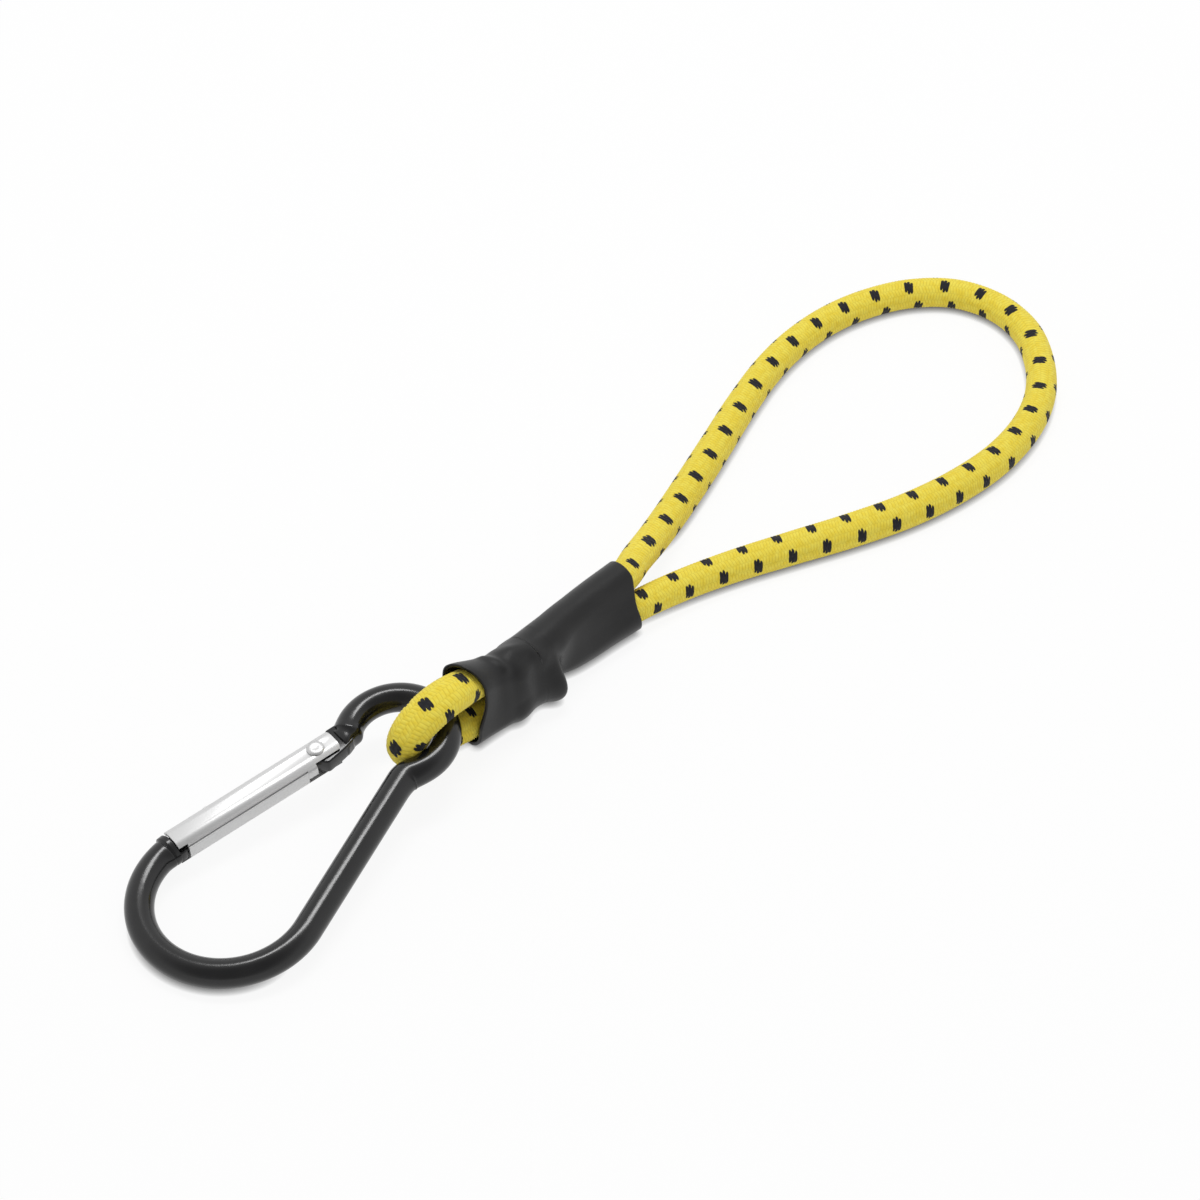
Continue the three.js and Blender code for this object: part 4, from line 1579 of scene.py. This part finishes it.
@dataclass
class CarabinerBody:
    """The bent rod with its nose and hinge tongue, and the rivet that the gate turns on."""

    rod_radius: float = 2.85 * MM
    bow_radius: float = 16.8 * MM
    eye_radius: float = 9.54 * MM
    eye_x: float = 64.85 * MM
    flank_angle: float = 13.4
    waist_radius: float = 3.6 * MM
    crown: Pair = (-0.098, -0.0027)
    yaw: float = 5.5
    pitch: float = 6.0
    pivot_x: float = 51.8 * MM
    bow_steps: int = 160
    waist_steps: int = 24
    eye_steps: int = 120
    step: float = 0.35 * MM
    sides: int = 40
    rod_crease: float = 40.0
    fine_step: float = 0.1 * MM
    fine_length: float = 3.6 * MM
    nose_setback: float = 1.35 * MM
    nose_lobe: float = 0.45 * MM
    nose_length: float = 4.2 * MM
    collar_flare: float = 0.42 * MM
    collar_length: float = 1.5 * MM
    collar_fade: float = 0.8
    collar_groove: float = 0.14 * MM
    groove_width: float = 0.16 * MM
    edge: float = 0.3 * MM
    knuckle: float = 0.6 * MM
    knuckle_half: float = 2.0 * MM
    neck_end: float = 6.3 * MM
    neck_blur: float = 2.0
    neck_square: float = 0.6
    square_end: float = 7.9 * MM
    # Millimetres behind the rivet, and the rod's half width and half depth there
    neck: tuple[Point, ...] = (
        (6.30, 2.30, 1.50),
        (6.50, 2.60, 1.80),
        (7.20, 2.65, 2.20),
        (7.90, 2.30, 2.40),
        (8.60, 2.00, 2.50),
        (9.20, 2.35, 2.70),
        (9.70, 3.05, 2.95),
        (10.30, 2.95, 2.90),
        (11.20, 2.85, 2.85),
    )
    tongue_bottom: float = -1.3 * MM
    tongue_top: float = 1.75 * MM
    tongue_edge: float = 0.3 * MM
    tongue_round: float = 0.5 * MM
    # Millimetres along the gate and across it
    tongue_outline: tuple[Pair, ...] = (
        (-7.6, -1.7),
        (-7.3, -3.2),
        (-4.2, -3.2),
        (-3.9, -1.7),
        (0.0, -1.7),
        (1.5, -1.4),
        (1.8, -0.3),
        (1.8, 1.3),
        (0.9, 2.1),
        (0.1, 3.0),
        (-0.5, 3.55),
        (-2.2, 3.25),
        (-4.4, 2.85),
        (-5.4, 2.6),
        (-6.4, 2.3),
        (-7.6, 1.9),
    )
    catch_bottom: float = -1.4 * MM
    catch_top: float = 1.0 * MM
    catch_round: float = 0.6 * MM
    # Millimetres along the gate and across it
    catch_outline: tuple[Pair, ...] = (
        (31.4, 1.2),
        (34.8, 1.2),
        (34.8, 2.1),
        (32.7, 3.0),
        (31.4, 2.7),
    )
    nose_tongue: Point = (0.0036, 0.0036, 0.0024)
    rivet_radius: float = 1.0 * MM
    rivet_crease: float = 50.0
    head_seat: float = 2.95 * MM
    # Millimetres above its seat, and the head's radius there
    head_profile: tuple[Pair, ...] = (
        (0.00, 1.68),
        (0.08, 1.75),
        (0.20, 1.70),
        (0.32, 1.48),
        (0.40, 1.20),
        (0.43, 0.95),
        (0.41, 0.70),
        (0.39, 0.45),
        (0.38, 0.20),
    )

    @property
    def flank(self) -> float:
        """How far the flanks lean in towards the eye, in radians."""
        return math.radians(self.flank_angle)

    @property
    def tangent(self) -> Pair:
        """Where the gate's flank touches the bow."""
        lean = self.flank
        return self.bow_radius * (1.0 + math.sin(lean)), self.bow_radius * math.cos(lean)

    @property
    def pivot(self) -> Pair:
        """The rivet's place in the carabiner's plane."""
        x, y = self.tangent
        return self.pivot_x, y - (self.pivot_x - x) * math.tan(self.flank)

    @property
    def nose_x(self) -> float:
        """The nose's face, measured from the rivet along the gate."""
        return (self.pivot_x - self.tangent[0]) / math.cos(self.flank) + self.nose_setback

    def place(self) -> Matrix:
        """Where the carabiner stands on the table.

        Returns:
            Its frame: X from the bow to the eye, Z up.
        """
        at = Matrix.Translation((*self.crown, self.rod_radius))
        yaw = Matrix.Rotation(math.radians(self.yaw), 4, "Z")
        return at @ yaw @ Matrix.Rotation(-math.radians(self.pitch), 4, "Y")

    def gate_place(self) -> Matrix:
        """The gate's frame: X from the rivet to the tip, Y to the inside of the carabiner."""
        at = Matrix.Translation((*self.pivot, 0.0))
        return self.place() @ at @ Matrix.Rotation(math.pi - self.flank, 4, "Z")

    def spine_bend(self) -> tuple[list[Pair], float]:
        """The waist between the spine and the eye, and the angle at which it meets the eye.

        Returns:
            Points along the waist, and the angle in radians.
        """
        lean = self.flank
        along = np.array([math.cos(lean), math.sin(lean)])
        outward = np.array([math.sin(lean), -math.cos(lean)])
        x, y = self.tangent
        start = np.array([x - self.eye_x, -y]) + self.waist_radius * outward
        half = float(start @ along)
        reach = self.eye_radius + self.waist_radius
        run = -half - math.sqrt(half**2 - float(start @ start) + reach**2)
        bend = start + run * along
        centre = (float(bend[0]) + self.eye_x, float(bend[1]))
        eye_angle = math.atan2(bend[1], bend[0])
        ends = (math.pi / 2.0 + lean, eye_angle + math.pi)
        return arc(centre, self.waist_radius, *ends, self.waist_steps), eye_angle

    def rod_line(self) -> Line:
        """The rod's middle line, from the nose round the bow, up the spine and round the eye.

        Returns:
            The line in the carabiner's frame, with finer steps at both ends.
        """
        lean = self.flank
        spine_bend, eye_angle = self.spine_bend()
        gate_bend = [(px, -py) for px, py in reversed(spine_bend)]
        px, py = self.pivot
        neck = (px + self.neck_end * math.cos(lean), py - self.neck_end * math.sin(lean))
        nose = math.pi / 2.0 - lean + self.nose_setback / self.bow_radius
        spine = 1.5 * math.pi + lean
        plan = [
            *arc((self.bow_radius, 0.0), self.bow_radius, nose, spine, self.bow_steps),
            *spine_bend,
            *arc((self.eye_x, 0.0), self.eye_radius, eye_angle, -eye_angle, self.eye_steps)[1:-1],
            *gate_bend,
            neck,
        ]
        line = Line.of(np.array([(px, py, 0.0) for px, py in plan]))
        fine, end = self.fine_length, line.length
        fine_count = int(round(fine / self.fine_step))
        count = int(round((end - 2.0 * fine) / self.step))
        nose_end = np.linspace(0.0, fine, fine_count, endpoint=False)
        round_part = np.linspace(fine, end - fine, count, endpoint=False)
        hinge_end = np.linspace(end - fine, end, fine_count)
        return Line.of(line.at(np.concatenate([nose_end, round_part, hinge_end])))

    def waist(self, line: Line) -> float:
        """How far along the rod the middle of the spine's waist lies.

        Args:
            line: The rod's middle line.

        Returns:
            The distance from the nose.
        """
        bend, _ = self.spine_bend()
        away = np.linalg.norm(line.points[:, :2] - bend[len(bend) // 2], axis=1)
        return float(line.lengths[away.argmin()])

    def rod(self) -> Skin:
        """The rod's skin, with its collar at the nose and its flattened neck at the hinge.

        Returns:
            Its points and faces.
        """
        line = self.rod_line()
        angles = around(self.sides)
        c, s = np.cos(angles)[None, :], np.sin(angles)[None, :]
        from_nose = line.lengths[:, None]
        from_pivot = (line.length - line.lengths + self.neck_end)[:, None]
        behind, broad, deep = (np.array(column) * MM for column in zip(*self.neck))

        def drawn_in(halves: Array) -> Array:
            """The rod's half width or half depth, drawn in at the neck."""
            table = np.interp(from_pivot[:, 0], behind, halves)
            return blurred_along(table, self.neck_blur)[:, None]

        collar = self.collar_length
        collar_end = smoothstep(self.collar_fade * collar, collar, from_nose)
        groove = hump(collar + self.groove_width, self.groove_width, from_nose)
        grow = self.collar_flare * (1.0 - collar_end) * (0.5 - 0.5 * c)
        grow = grow - self.collar_groove * groove
        grow = grow - self.edge * (1.0 - smoothstep(0.0, self.edge, from_nose))
        lobe = self.nose_lobe * (1.0 - smoothstep(collar / 2.0, self.nose_length, from_nose))
        knuckle = self.knuckle * hump(self.waist(line), self.knuckle_half, from_nose)
        rounder = smoothstep(self.square_end, behind[-1], from_pivot)
        square = self.neck_square + (1.0 - self.neck_square) * rounder
        inward = np.sign(c) * np.abs(c) ** square * (grow + drawn_in(broad))
        inward = inward + lobe * np.maximum(0.0, c) ** 2 - knuckle * np.maximum(0.0, -c) ** 2
        upward = np.sign(s) * np.abs(s) ** square * (grow + drawn_in(deep))
        left, up = np.cross(UP, unit(np.gradient(line.points, axis=0))), np.array(UP)
        rings = line.points[:, None] + inward[..., None] * left[:, None] + upward[..., None] * up
        return rings[:, ::-1], tube_faces(len(rings), self.sides)

    def hinge_tongue(self) -> Skin:
        """The flat tongue between the gate's ears, in the gate's frame.

        Returns:
            Its points and faces.
        """
        outline = softened(from_mm(self.tongue_outline), self.tongue_round)
        tongue = plate(outline, self.tongue_top - self.tongue_bottom, self.tongue_edge)
        return raised(tongue, 0.5 * (self.tongue_top + self.tongue_bottom))

    def nose_catch(self) -> Skin:
        """The small block on the nose behind the gate's inner wall, in the gate's frame.

        Returns:
            Its points and faces.
        """
        outline = softened(from_mm(self.catch_outline), self.catch_round)
        catch = plate(outline, self.catch_top - self.catch_bottom, self.edge)
        return raised(catch, 0.5 * (self.catch_top + self.catch_bottom))

    def nose_blade(self) -> Skin:
        """The small tongue on the nose that stands in the gate's open tip, in the gate's frame.

        Returns:
            Its points and faces.
        """
        length, width, thickness = self.nose_tongue
        back, front = self.nose_x + self.edge, self.nose_x - length
        outline = rectangle((front, -width / 2.0), (back, width / 2.0))
        return plate(outline, thickness, self.edge)

    def in_plane(self, skin: Skin) -> Skin:
        """A skin from the gate's frame, brought to the carabiner's frame.

        Args:
            skin: Points and faces in the gate's frame.

        Returns:
            The moved points, and the faces as they are.
        """
        points, faces = skin
        move = np.array(self.place().inverted() @ self.gate_place())
        return points.reshape(-1, 3) @ move[:3, :3].T + move[:3, 3], faces

    def rivet(self) -> Object:
        """Builds the rivet with a low, dished head over each ear.

        Returns:
            The new piece.
        """
        profile = from_mm(self.head_profile)
        upper = [(self.head_seat + height, radius) for height, radius in profile]
        lower = [(-height, radius) for height, radius in reversed(upper)]
        shank = [(-self.head_seat, self.rivet_radius), (self.head_seat, self.rivet_radius)]
        piece = add_piece("gate_pin", *turned([*lower, *shank, *upper]))
        sharpen(piece, self.rivet_crease)
        piece.matrix_world = self.gate_place()
        return piece

    def build(self, coat: Material, metal: Material) -> list[Object]:
        """Builds the rod and the rivet and dresses them.

        Args:
            coat: Material of the rod.
            metal: Material of the rivet.

        Returns:
            The pieces, which ride on the carabiner.
        """
        fittings = (self.hinge_tongue(), self.nose_blade(), self.nose_catch())
        skins = [self.rod(), *(self.in_plane(skin) for skin in fittings)]
        body = add_piece("carabiner_rod", *merged(skins))
        sharpen(body, self.rod_crease)
        body.matrix_world = self.place()
        rivet = self.rivet()
        dress(body, coat, Slot.ROD, "carabiner_body")
        dress(rivet, metal, Slot.RIVET, "gate_rivet")
        return [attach(piece, Body.CARABINER.value) for piece in (body, rivet)]


class Change(Enum):
    """What a tool does to a piece, by Blender's name of it."""

    JOIN = "UNION"
    KEEP = "INTERSECT"
    REMOVE = "DIFFERENCE"


@dataclass
class SnapGate:
    """The folded gate, with the plunger and the spring inside it."""

    carabiner: CarabinerBody
    width: float = 6.0 * MM
    height: float = 5.8 * MM
    corner: float = 2.0 * MM
    sheet: float = 0.7 * MM
    ear: float = 4.2 * MM
    ear_round: float = 1.4 * MM
    ear_bow: float = 0.3 * MM
    ear_steps: int = 10
    ear_bow_steps: int = 6
    fold_steps: int = 8
    seam: float = 0.34 * MM
    seam_z: float = 1.6 * MM
    tip_cut: float = 1.9 * MM
    nose_gap: float = 0.15 * MM
    # Millimetres across the gate and up, for the hem and for the tab
    hem: tuple[Pair, ...] = (
        (2.30, 0.90),
        (2.30, 1.25),
        (1.85, 1.62),
        (1.50, 2.00),
        (1.25, 1.85),
        (1.60, 1.45),
        (2.00, 0.90),
    )
    hem_setback: float = 0.3 * MM
    tab: tuple[Pair, ...] = (
        (2.50, -0.30),
        (3.12, -0.30),
        (3.12, 0.95),
        (3.06, 1.35),
        (2.88, 1.75),
        (2.55, 2.10),
        (2.20, 1.95),
        (2.50, 1.40),
    )
    tab_x: Pair = (0.0018, 0.0039)
    slot_length: float = 4.2 * MM
    slot_half: float = 1.5 * MM
    rivet_hole: float = 1.1 * MM
    hole_sides: int = 32
    edge: float = 0.12 * MM
    edge_segments: int = 2
    edge_angle: float = 40.0
    crease: float = 35.0
    seat_x: float = 23.6 * MM
    seat_thickness: float = 0.8 * MM
    seat_inset: float = 0.7
    seat_share: float = 0.6
    plunger_x: float = 2.1 * MM
    plunger_y: float = 0.8 * MM
    plunger_radius: float = 1.2 * MM
    plunger_length: float = 5.4 * MM
    stem_radius: float = 0.5 * MM
    stem_length: float = 5.5 * MM
    plunger_bevel: float = 0.15 * MM
    plunger_sides: int = 28
    plunger_crease: float = 40.0
    spring_start: float = 8.05 * MM
    spring_end: float = 23.05 * MM
    spring_radius: float = 1.05 * MM
    spring_wire: float = 0.5 * MM
    spring_curls: int = 11
    spring_steps: int = 24
    spring_sides: int = 10

    @property
    def tip(self) -> float:
        """The gate's open tip, measured from the rivet."""
        return self.carabiner.nose_x - self.nose_gap

    def section(self) -> list[Pair]:
        """The folded sheet's section in the gate's Y and Z, from the lip to the inner wall.

        Returns:
            Its corners, along the outside and back along the inside.
        """
        half_y, half_z = self.width / 2.0, self.height / 2.0
        y, z = half_y - self.corner, half_z - self.corner
        lip, wall = self.seam_z + self.seam / 2.0, self.seam_z - self.seam / 2.0
        quarter, steps = math.pi / 2.0, self.fold_steps
        lip_angle = math.asin(min(1.0, (lip - z) / self.corner))

        def fold(inset: float) -> list[Pair]:
            """The fold's line at an inset from the outside.

            Args:
                inset: The inset.

            Returns:
                Points along the line.
            """
            radius = self.corner - inset
            return [
                *arc((y, z), radius, lip_angle, quarter, steps),
                *arc((-y, z), radius, quarter, 2.0 * quarter, steps),
                *arc((-y, -z), radius, 2.0 * quarter, 3.0 * quarter, steps),
                *arc((y, -z), radius, 3.0 * quarter, 4.0 * quarter, steps),
                (half_y - inset, wall),
            ]

        return [*fold(0.0), *reversed(fold(self.sheet))]

    def side_view(self) -> list[Pair]:
        """The gate's outline from above: square at the tip, its ears round on the inner side.

        Returns:
            Its corners in order.
        """
        wide, half, turn = self.width, self.width / 2.0, self.ear_round
        centre = (turn - self.ear, half - turn)
        corner = arc(centre, turn, math.pi / 2.0, math.pi, self.ear_steps)
        places = np.linspace(0.0, half, self.ear_bow_steps + 1)[1:]
        outer = [(self.ear_bow * (y / half) ** 2 - self.ear, -y) for y in places]
        ear = [(turn - self.ear, wide), *corner, *outer, (self.ear_bow - self.ear, -wide)]
        return [(self.tip, -wide), (self.tip, wide), *ear]

    def cut(self, piece: Object, tool: Skin, change: Change) -> None:
        """Cuts a piece with a tool, or joins the tool to it.

        Args:
            piece: The piece to change.
            tool: Points and faces of the tool.
            change: What is done.
        """
        helper = add_piece("cutting_tool", *tool)
        modifier = piece.modifiers.new("cut", "BOOLEAN")
        modifier.operation = change.value
        modifier.solver = "EXACT"
        modifier.object = helper
        settle(piece)
        bpy.data.objects.remove(helper)

    def fittings(self) -> list[Skin]:
        """The spring's seat, the hem behind the seam and the tab that closes the seam.

        Returns:
            Points and faces of each.
        """
        y, z = (side / 2.0 - self.seat_inset * self.sheet for side in (self.width, self.height))
        seat = rectangle((-y, -z), (self.seat_share * y, z))
        hem_start = self.tab_x[0] + self.hem_setback
        hem_end = self.tip - self.tip_cut - self.hem_setback
        return [
            bar(seat, self.seat_x, self.seat_x + self.seat_thickness),
            bar(from_mm(self.hem), hem_start, hem_end),
            bar(from_mm(self.tab), *self.tab_x),
        ]

    def openings(self) -> list[Skin]:
        """What the inner wall leaves open at both ends, the nose's slot and the rivet's holes.

        Returns:
            Points and faces of the tools that cut them.
        """
        start, end = -2.0 * self.ear, self.tip + self.ear
        inner = (self.width / 2.0 - self.sheet) / 2.0
        level = self.height / 2.0 - self.sheet
        ends = (
            (start, self.tab_x[0], level),
            (start, self.tab_x[1], self.tab[0][1] * MM),
            (self.tip - self.tip_cut, end, level),
        )
        walls = [
            prism(rectangle((low, inner), (high, self.width)), -level, top)
            for low, high, top in ends
        ]
        slot = rectangle((self.carabiner.nose_x - self.slot_length, -self.width), (end, 0.0))
        turns = around(self.hole_sides)
        hole = [(self.rivet_hole * math.cos(a), self.rivet_hole * math.sin(a)) for a in turns]
        return [
            *walls,
            prism(slot, -self.slot_half, self.slot_half),
            prism(hole, -self.height, self.height),
        ]

    def channel(self) -> Object:
        """Builds the folded channel with its fittings and its openings.

        Returns:
            The new piece.
        """
        folded = bar(self.section(), -2.0 * self.ear, self.tip + self.ear)
        piece = add_piece("gate_channel", *folded)
        for fitting in self.fittings():
            self.cut(piece, fitting, Change.JOIN)
        self.cut(piece, prism(self.side_view(), -self.height, self.height), Change.KEEP)
        for opening in self.openings():
            self.cut(piece, opening, Change.REMOVE)
        soften = piece.modifiers.new("soft_edges", "BEVEL")
        soften.width = self.edge
        soften.segments = self.edge_segments
        soften.limit_method = "ANGLE"
        soften.angle_limit = math.radians(self.edge_angle)
        settle(piece)
        sharpen(piece, self.crease)
        piece.matrix_world = self.carabiner.gate_place()
        return piece

    def plunger(self) -> Object:
        """Builds the round-nosed plunger that pushes on the hinge tongue.

        Returns:
            The new piece.
        """
        end = self.plunger_length + self.stem_length
        bevel = self.plunger_bevel
        profile = [
            *dome(self.plunger_radius),
            (self.plunger_length - bevel, self.plunger_radius),
            (self.plunger_length, self.plunger_radius - bevel),
            (self.plunger_length, self.stem_radius),
            (end - bevel, self.stem_radius),
            (end, self.stem_radius - bevel),
        ]
        piece = add_piece("plunger_pin", *turned(profile, self.plunger_sides))
        sharpen(piece, self.plunger_crease)
        at = Matrix.Translation((self.plunger_x, self.plunger_y, 0.0))
        lying = Matrix.Rotation(math.pi / 2.0, 4, "Y")
        piece.matrix_world = self.carabiner.gate_place() @ at @ lying
        return piece

    def spring(self) -> Object:
        """Builds the compression spring behind the plunger.

        Returns:
            The new piece.
        """
        count = self.spring_curls * self.spring_steps
        share = np.linspace(0.0, 1.0, count + 1)
        angle = share * self.spring_curls * 2.0 * np.pi
        x = self.spring_start + (self.spring_end - self.spring_start) * share
        y = self.plunger_y + self.spring_radius * np.cos(angle)
        line = Line.of(np.column_stack([x, y, self.spring_radius * np.sin(angle)]))
        radii = np.full((count + 1, self.spring_sides), self.spring_wire / 2.0)
        rings = line.rings(radii, around(self.spring_sides)[None, :], (1.0, 0.0, 0.0))
        piece = add_piece("coil_spring", rings, tube_faces(count + 1, self.spring_sides))
        piece.matrix_world = self.carabiner.gate_place()
        return piece

    def build(self, metal: Material, steel: Material) -> list[Object]:
        """Builds the channel, the plunger and the spring and dresses them.

        Args:
            metal: Material of the channel.
            steel: Material of the plunger and the spring.

        Returns:
            The pieces: the channel, which rides on the gate, the plunger, which rides on the
                plunger's body, and the spring, which rides on neither.
        """
        channel, plunger, spring = self.channel(), self.plunger(), self.spring()
        dress(channel, metal, Slot.GATE, "gate_shell")
        dress(plunger, steel, Slot.SPRING, "spring_plunger")
        dress(spring, steel, Slot.SPRING, "gate_spring")
        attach(channel, Body.GATE.value)
        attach(plunger, Body.PLUNGER.value)
        place = self.carabiner.gate_place()
        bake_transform(spring)
        return [channel, plunger, spring]


# The studio


@dataclass
class Studio:
    """Camera, soft light and pale floor."""

    target: Point = (0.026, 0.0086, 0.0)
    azimuth: float = -45.0
    elevation: float = 45.5
    distance: float = 0.992
    lens: float = 150.0
    sensor: float = 36.0
    clip: Pair = (0.01, 50.0)
    floor_half: float = 3.0
    sky: float = 0.62
    dim_side: float = 0.38
    dim_reach: Pair = (0.35, 0.95)
    lamp_elevation: float = 107.0
    lamp_distance: float = 0.8
    lamp_size: Pair = (0.42, 0.13)
    lamp_power: float = 2.6

    def direction(self, elevation: float) -> Vector:
        """Direction from the target at an elevation, in the camera's upright plane.

        Args:
            elevation: The elevation in degrees.

        Returns:
            A direction of length 1.
        """
        turn, rise = math.radians(self.azimuth), math.radians(elevation)
        flat = math.cos(rise)
        return Vector((flat * math.sin(turn), -flat * math.cos(turn), math.sin(rise)))

    def aimed(self, name: str, data: bpy.types.ID, elevation: float, distance: float) -> Object:
        """An object that looks at the target.

        Args:
            name: Its name.
            data: Its camera or lamp.
            elevation: Its elevation about the target, in degrees.
            distance: Its distance from the target.

        Returns:
            The new object.
        """
        item = bpy.data.objects.new(name, data)
        towards = self.direction(elevation)
        item.location = Vector(self.target) + distance * towards
        item.rotation_euler = (-towards).to_track_quat("-Z", "Y").to_euler()
        bpy.context.scene.collection.objects.link(item)
        return item

    def place_camera(self) -> None:
        """Puts the camera where the photograph was taken from."""
        camera = bpy.data.cameras.new("camera")
        camera.lens = self.lens
        camera.sensor_width = self.sensor
        camera.clip_start, camera.clip_end = self.clip
        bpy.context.scene.camera = self.aimed("camera", camera, self.elevation, self.distance)

    def light(self) -> None:
        """Hangs one soft lamp overhead in a white sky, which is dimmer behind the camera."""
        lamp = bpy.data.lights.new("soft_box", "AREA")
        lamp.shape = "RECTANGLE"
        lamp.size, lamp.size_y = self.lamp_size
        lamp.energy = self.lamp_power
        self.aimed("soft_box", lamp, self.lamp_elevation, self.lamp_distance)
        world = bpy.data.worlds.new("white_sky")
        world.use_nodes = True
        bpy.context.scene.world = world
        sheet = NodeSheet(world.node_tree)
        towards = sheet.node("ShaderNodeVectorMath")
        towards.operation = "DOT_PRODUCT"
        sheet.link(sheet.node("ShaderNodeTexCoord").outputs["Generated"], towards.inputs[0])
        sheet.feed(towards.inputs[1], self.direction(self.elevation))
        seen = sheet.step(towards.outputs["Value"], *self.dim_reach, (1.0, self.dim_side))
        background = sheet.tree.nodes["Background"].inputs
        sheet.feed(background["Color"], grey(1.0))
        sheet.feed(background["Strength"], sheet.spread(sheet.seen_directly(), self.sky, seen))

    def lay_floor(self) -> None:
        """Lays the floor under the object."""
        half = self.floor_half
        corners = [(x, y, 0.0) for x, y in rectangle((-half, -half), (half, half))]
        floor = add_piece("floor", np.array(corners), [(0, 1, 2, 3)])
        floor.data.materials.append(FloorFinish().make())


def cord_runs(route: CordRoute) -> list[BraidedRun]:
    """The cord's three dressed runs: the free loop, the eye and the tail.

    Args:
        route: The whole cord's route.

    Returns:
        The runs, with the free loop first.
    """
    hidden = 3.0 * MM
    gap = 0.4 * MM
    line = route.whole()
    leaves, returns = route.rear_mouth(line)
    loop = ElasticLoop(
        name="loop",
        line=line,
        start=leaves - hidden,
        end=returns + hidden,
        lean=UP,
        sheath_nodes=("far_leg_sheath", "loop_bow_sheath", "near_leg_sheath"),
        core_nodes=("far_leg_core", "loop_bow_core", "near_leg_core"),
        first_fleck=hidden + 4.45 * MM,
        drawn_out=(
            Drift(8.0 * MM, 7.0 * MM, -2.6 * MM),
            Drift(30.0 * MM, 13.0 * MM, 1.5 * MM),
            Drift(163.0 * MM, 24.0 * MM, 2.8 * MM),
            Drift(191.0 * MM, 13.0 * MM, 1.1 * MM),
            Drift(248.0 * MM, 16.0 * MM, -0.8 * MM),
        ),
        swells=(Drift(44.0 * MM, 34.0 * MM, 0.38 * MM), Drift(214.0 * MM, 42.0 * MM, 0.48 * MM)),
        turn=-9.0,
        twists=(
            Drift(178.0 * MM, 36.0 * MM, -17.0),
            Drift(240.0 * MM, 22.0 * MM, -4.0),
            Drift(276.0 * MM, 12.0 * MM, -26.0),
        ),
    )
    eye = BraidedRun(
        name="eye",
        line=line,
        start=0.0,
        end=leaves - hidden - gap,
        lean=(0.0, 1.0, 0.0),
        sheath_nodes=("eye_sheath",),
        core_nodes=("eye_core",),
        first_fleck=0.2 * MM,
        turn=-26.0,
        drawn_out=(Drift(24.0 * MM, 8.0 * MM, -3.0 * MM),),
        swells=(Drift(56.0 * MM, 8.0 * MM, 0.35 * MM),),
        pressed=(Drift(47.0 * MM, 11.0 * MM, 0.95 * MM),),
    )
    tail = BraidedRun(
        name="tail",
        line=line,
        start=returns + hidden + gap,
        end=line.length,
        lean=UP,
        sheath_nodes=("tail_sheath",),
        core_nodes=("tail_core",),
        first_fleck=3.0 * MM,
    )
    return [loop, eye, tail]


def main() -> None:
    """Builds the scene, piece by piece."""
    logging.basicConfig(level=logging.INFO, format="%(message)s")
    bpy.context.scene.view_settings.view_transform = "Standard"
    studio = Studio()
    studio.place_camera()
    route = CordRoute()
    steel = MetalFinish(MetalTone.STEEL).make()
    braid, rubber = BraidFinish().make(), RubberFinish().make()
    pieces = []
    for run in cord_runs(route):
        pieces += run.build(braid, rubber)
    pieces += ShrinkSleeve(route).build(ShrinkFinish().make(), steel)
    carabiner = CarabinerBody()
    pieces += carabiner.build(GlossBlackFinish().make(), MetalFinish(MetalTone.RIVET).make())
    pieces += SnapGate(carabiner).build(MetalFinish(MetalTone.ALUMINIUM).make(), steel)
    for piece in pieces:
        log.info("%s: %d faces", piece.name, len(piece.data.polygons))
    studio.light()
    studio.lay_floor()


if __name__ == "__main__":
    main()
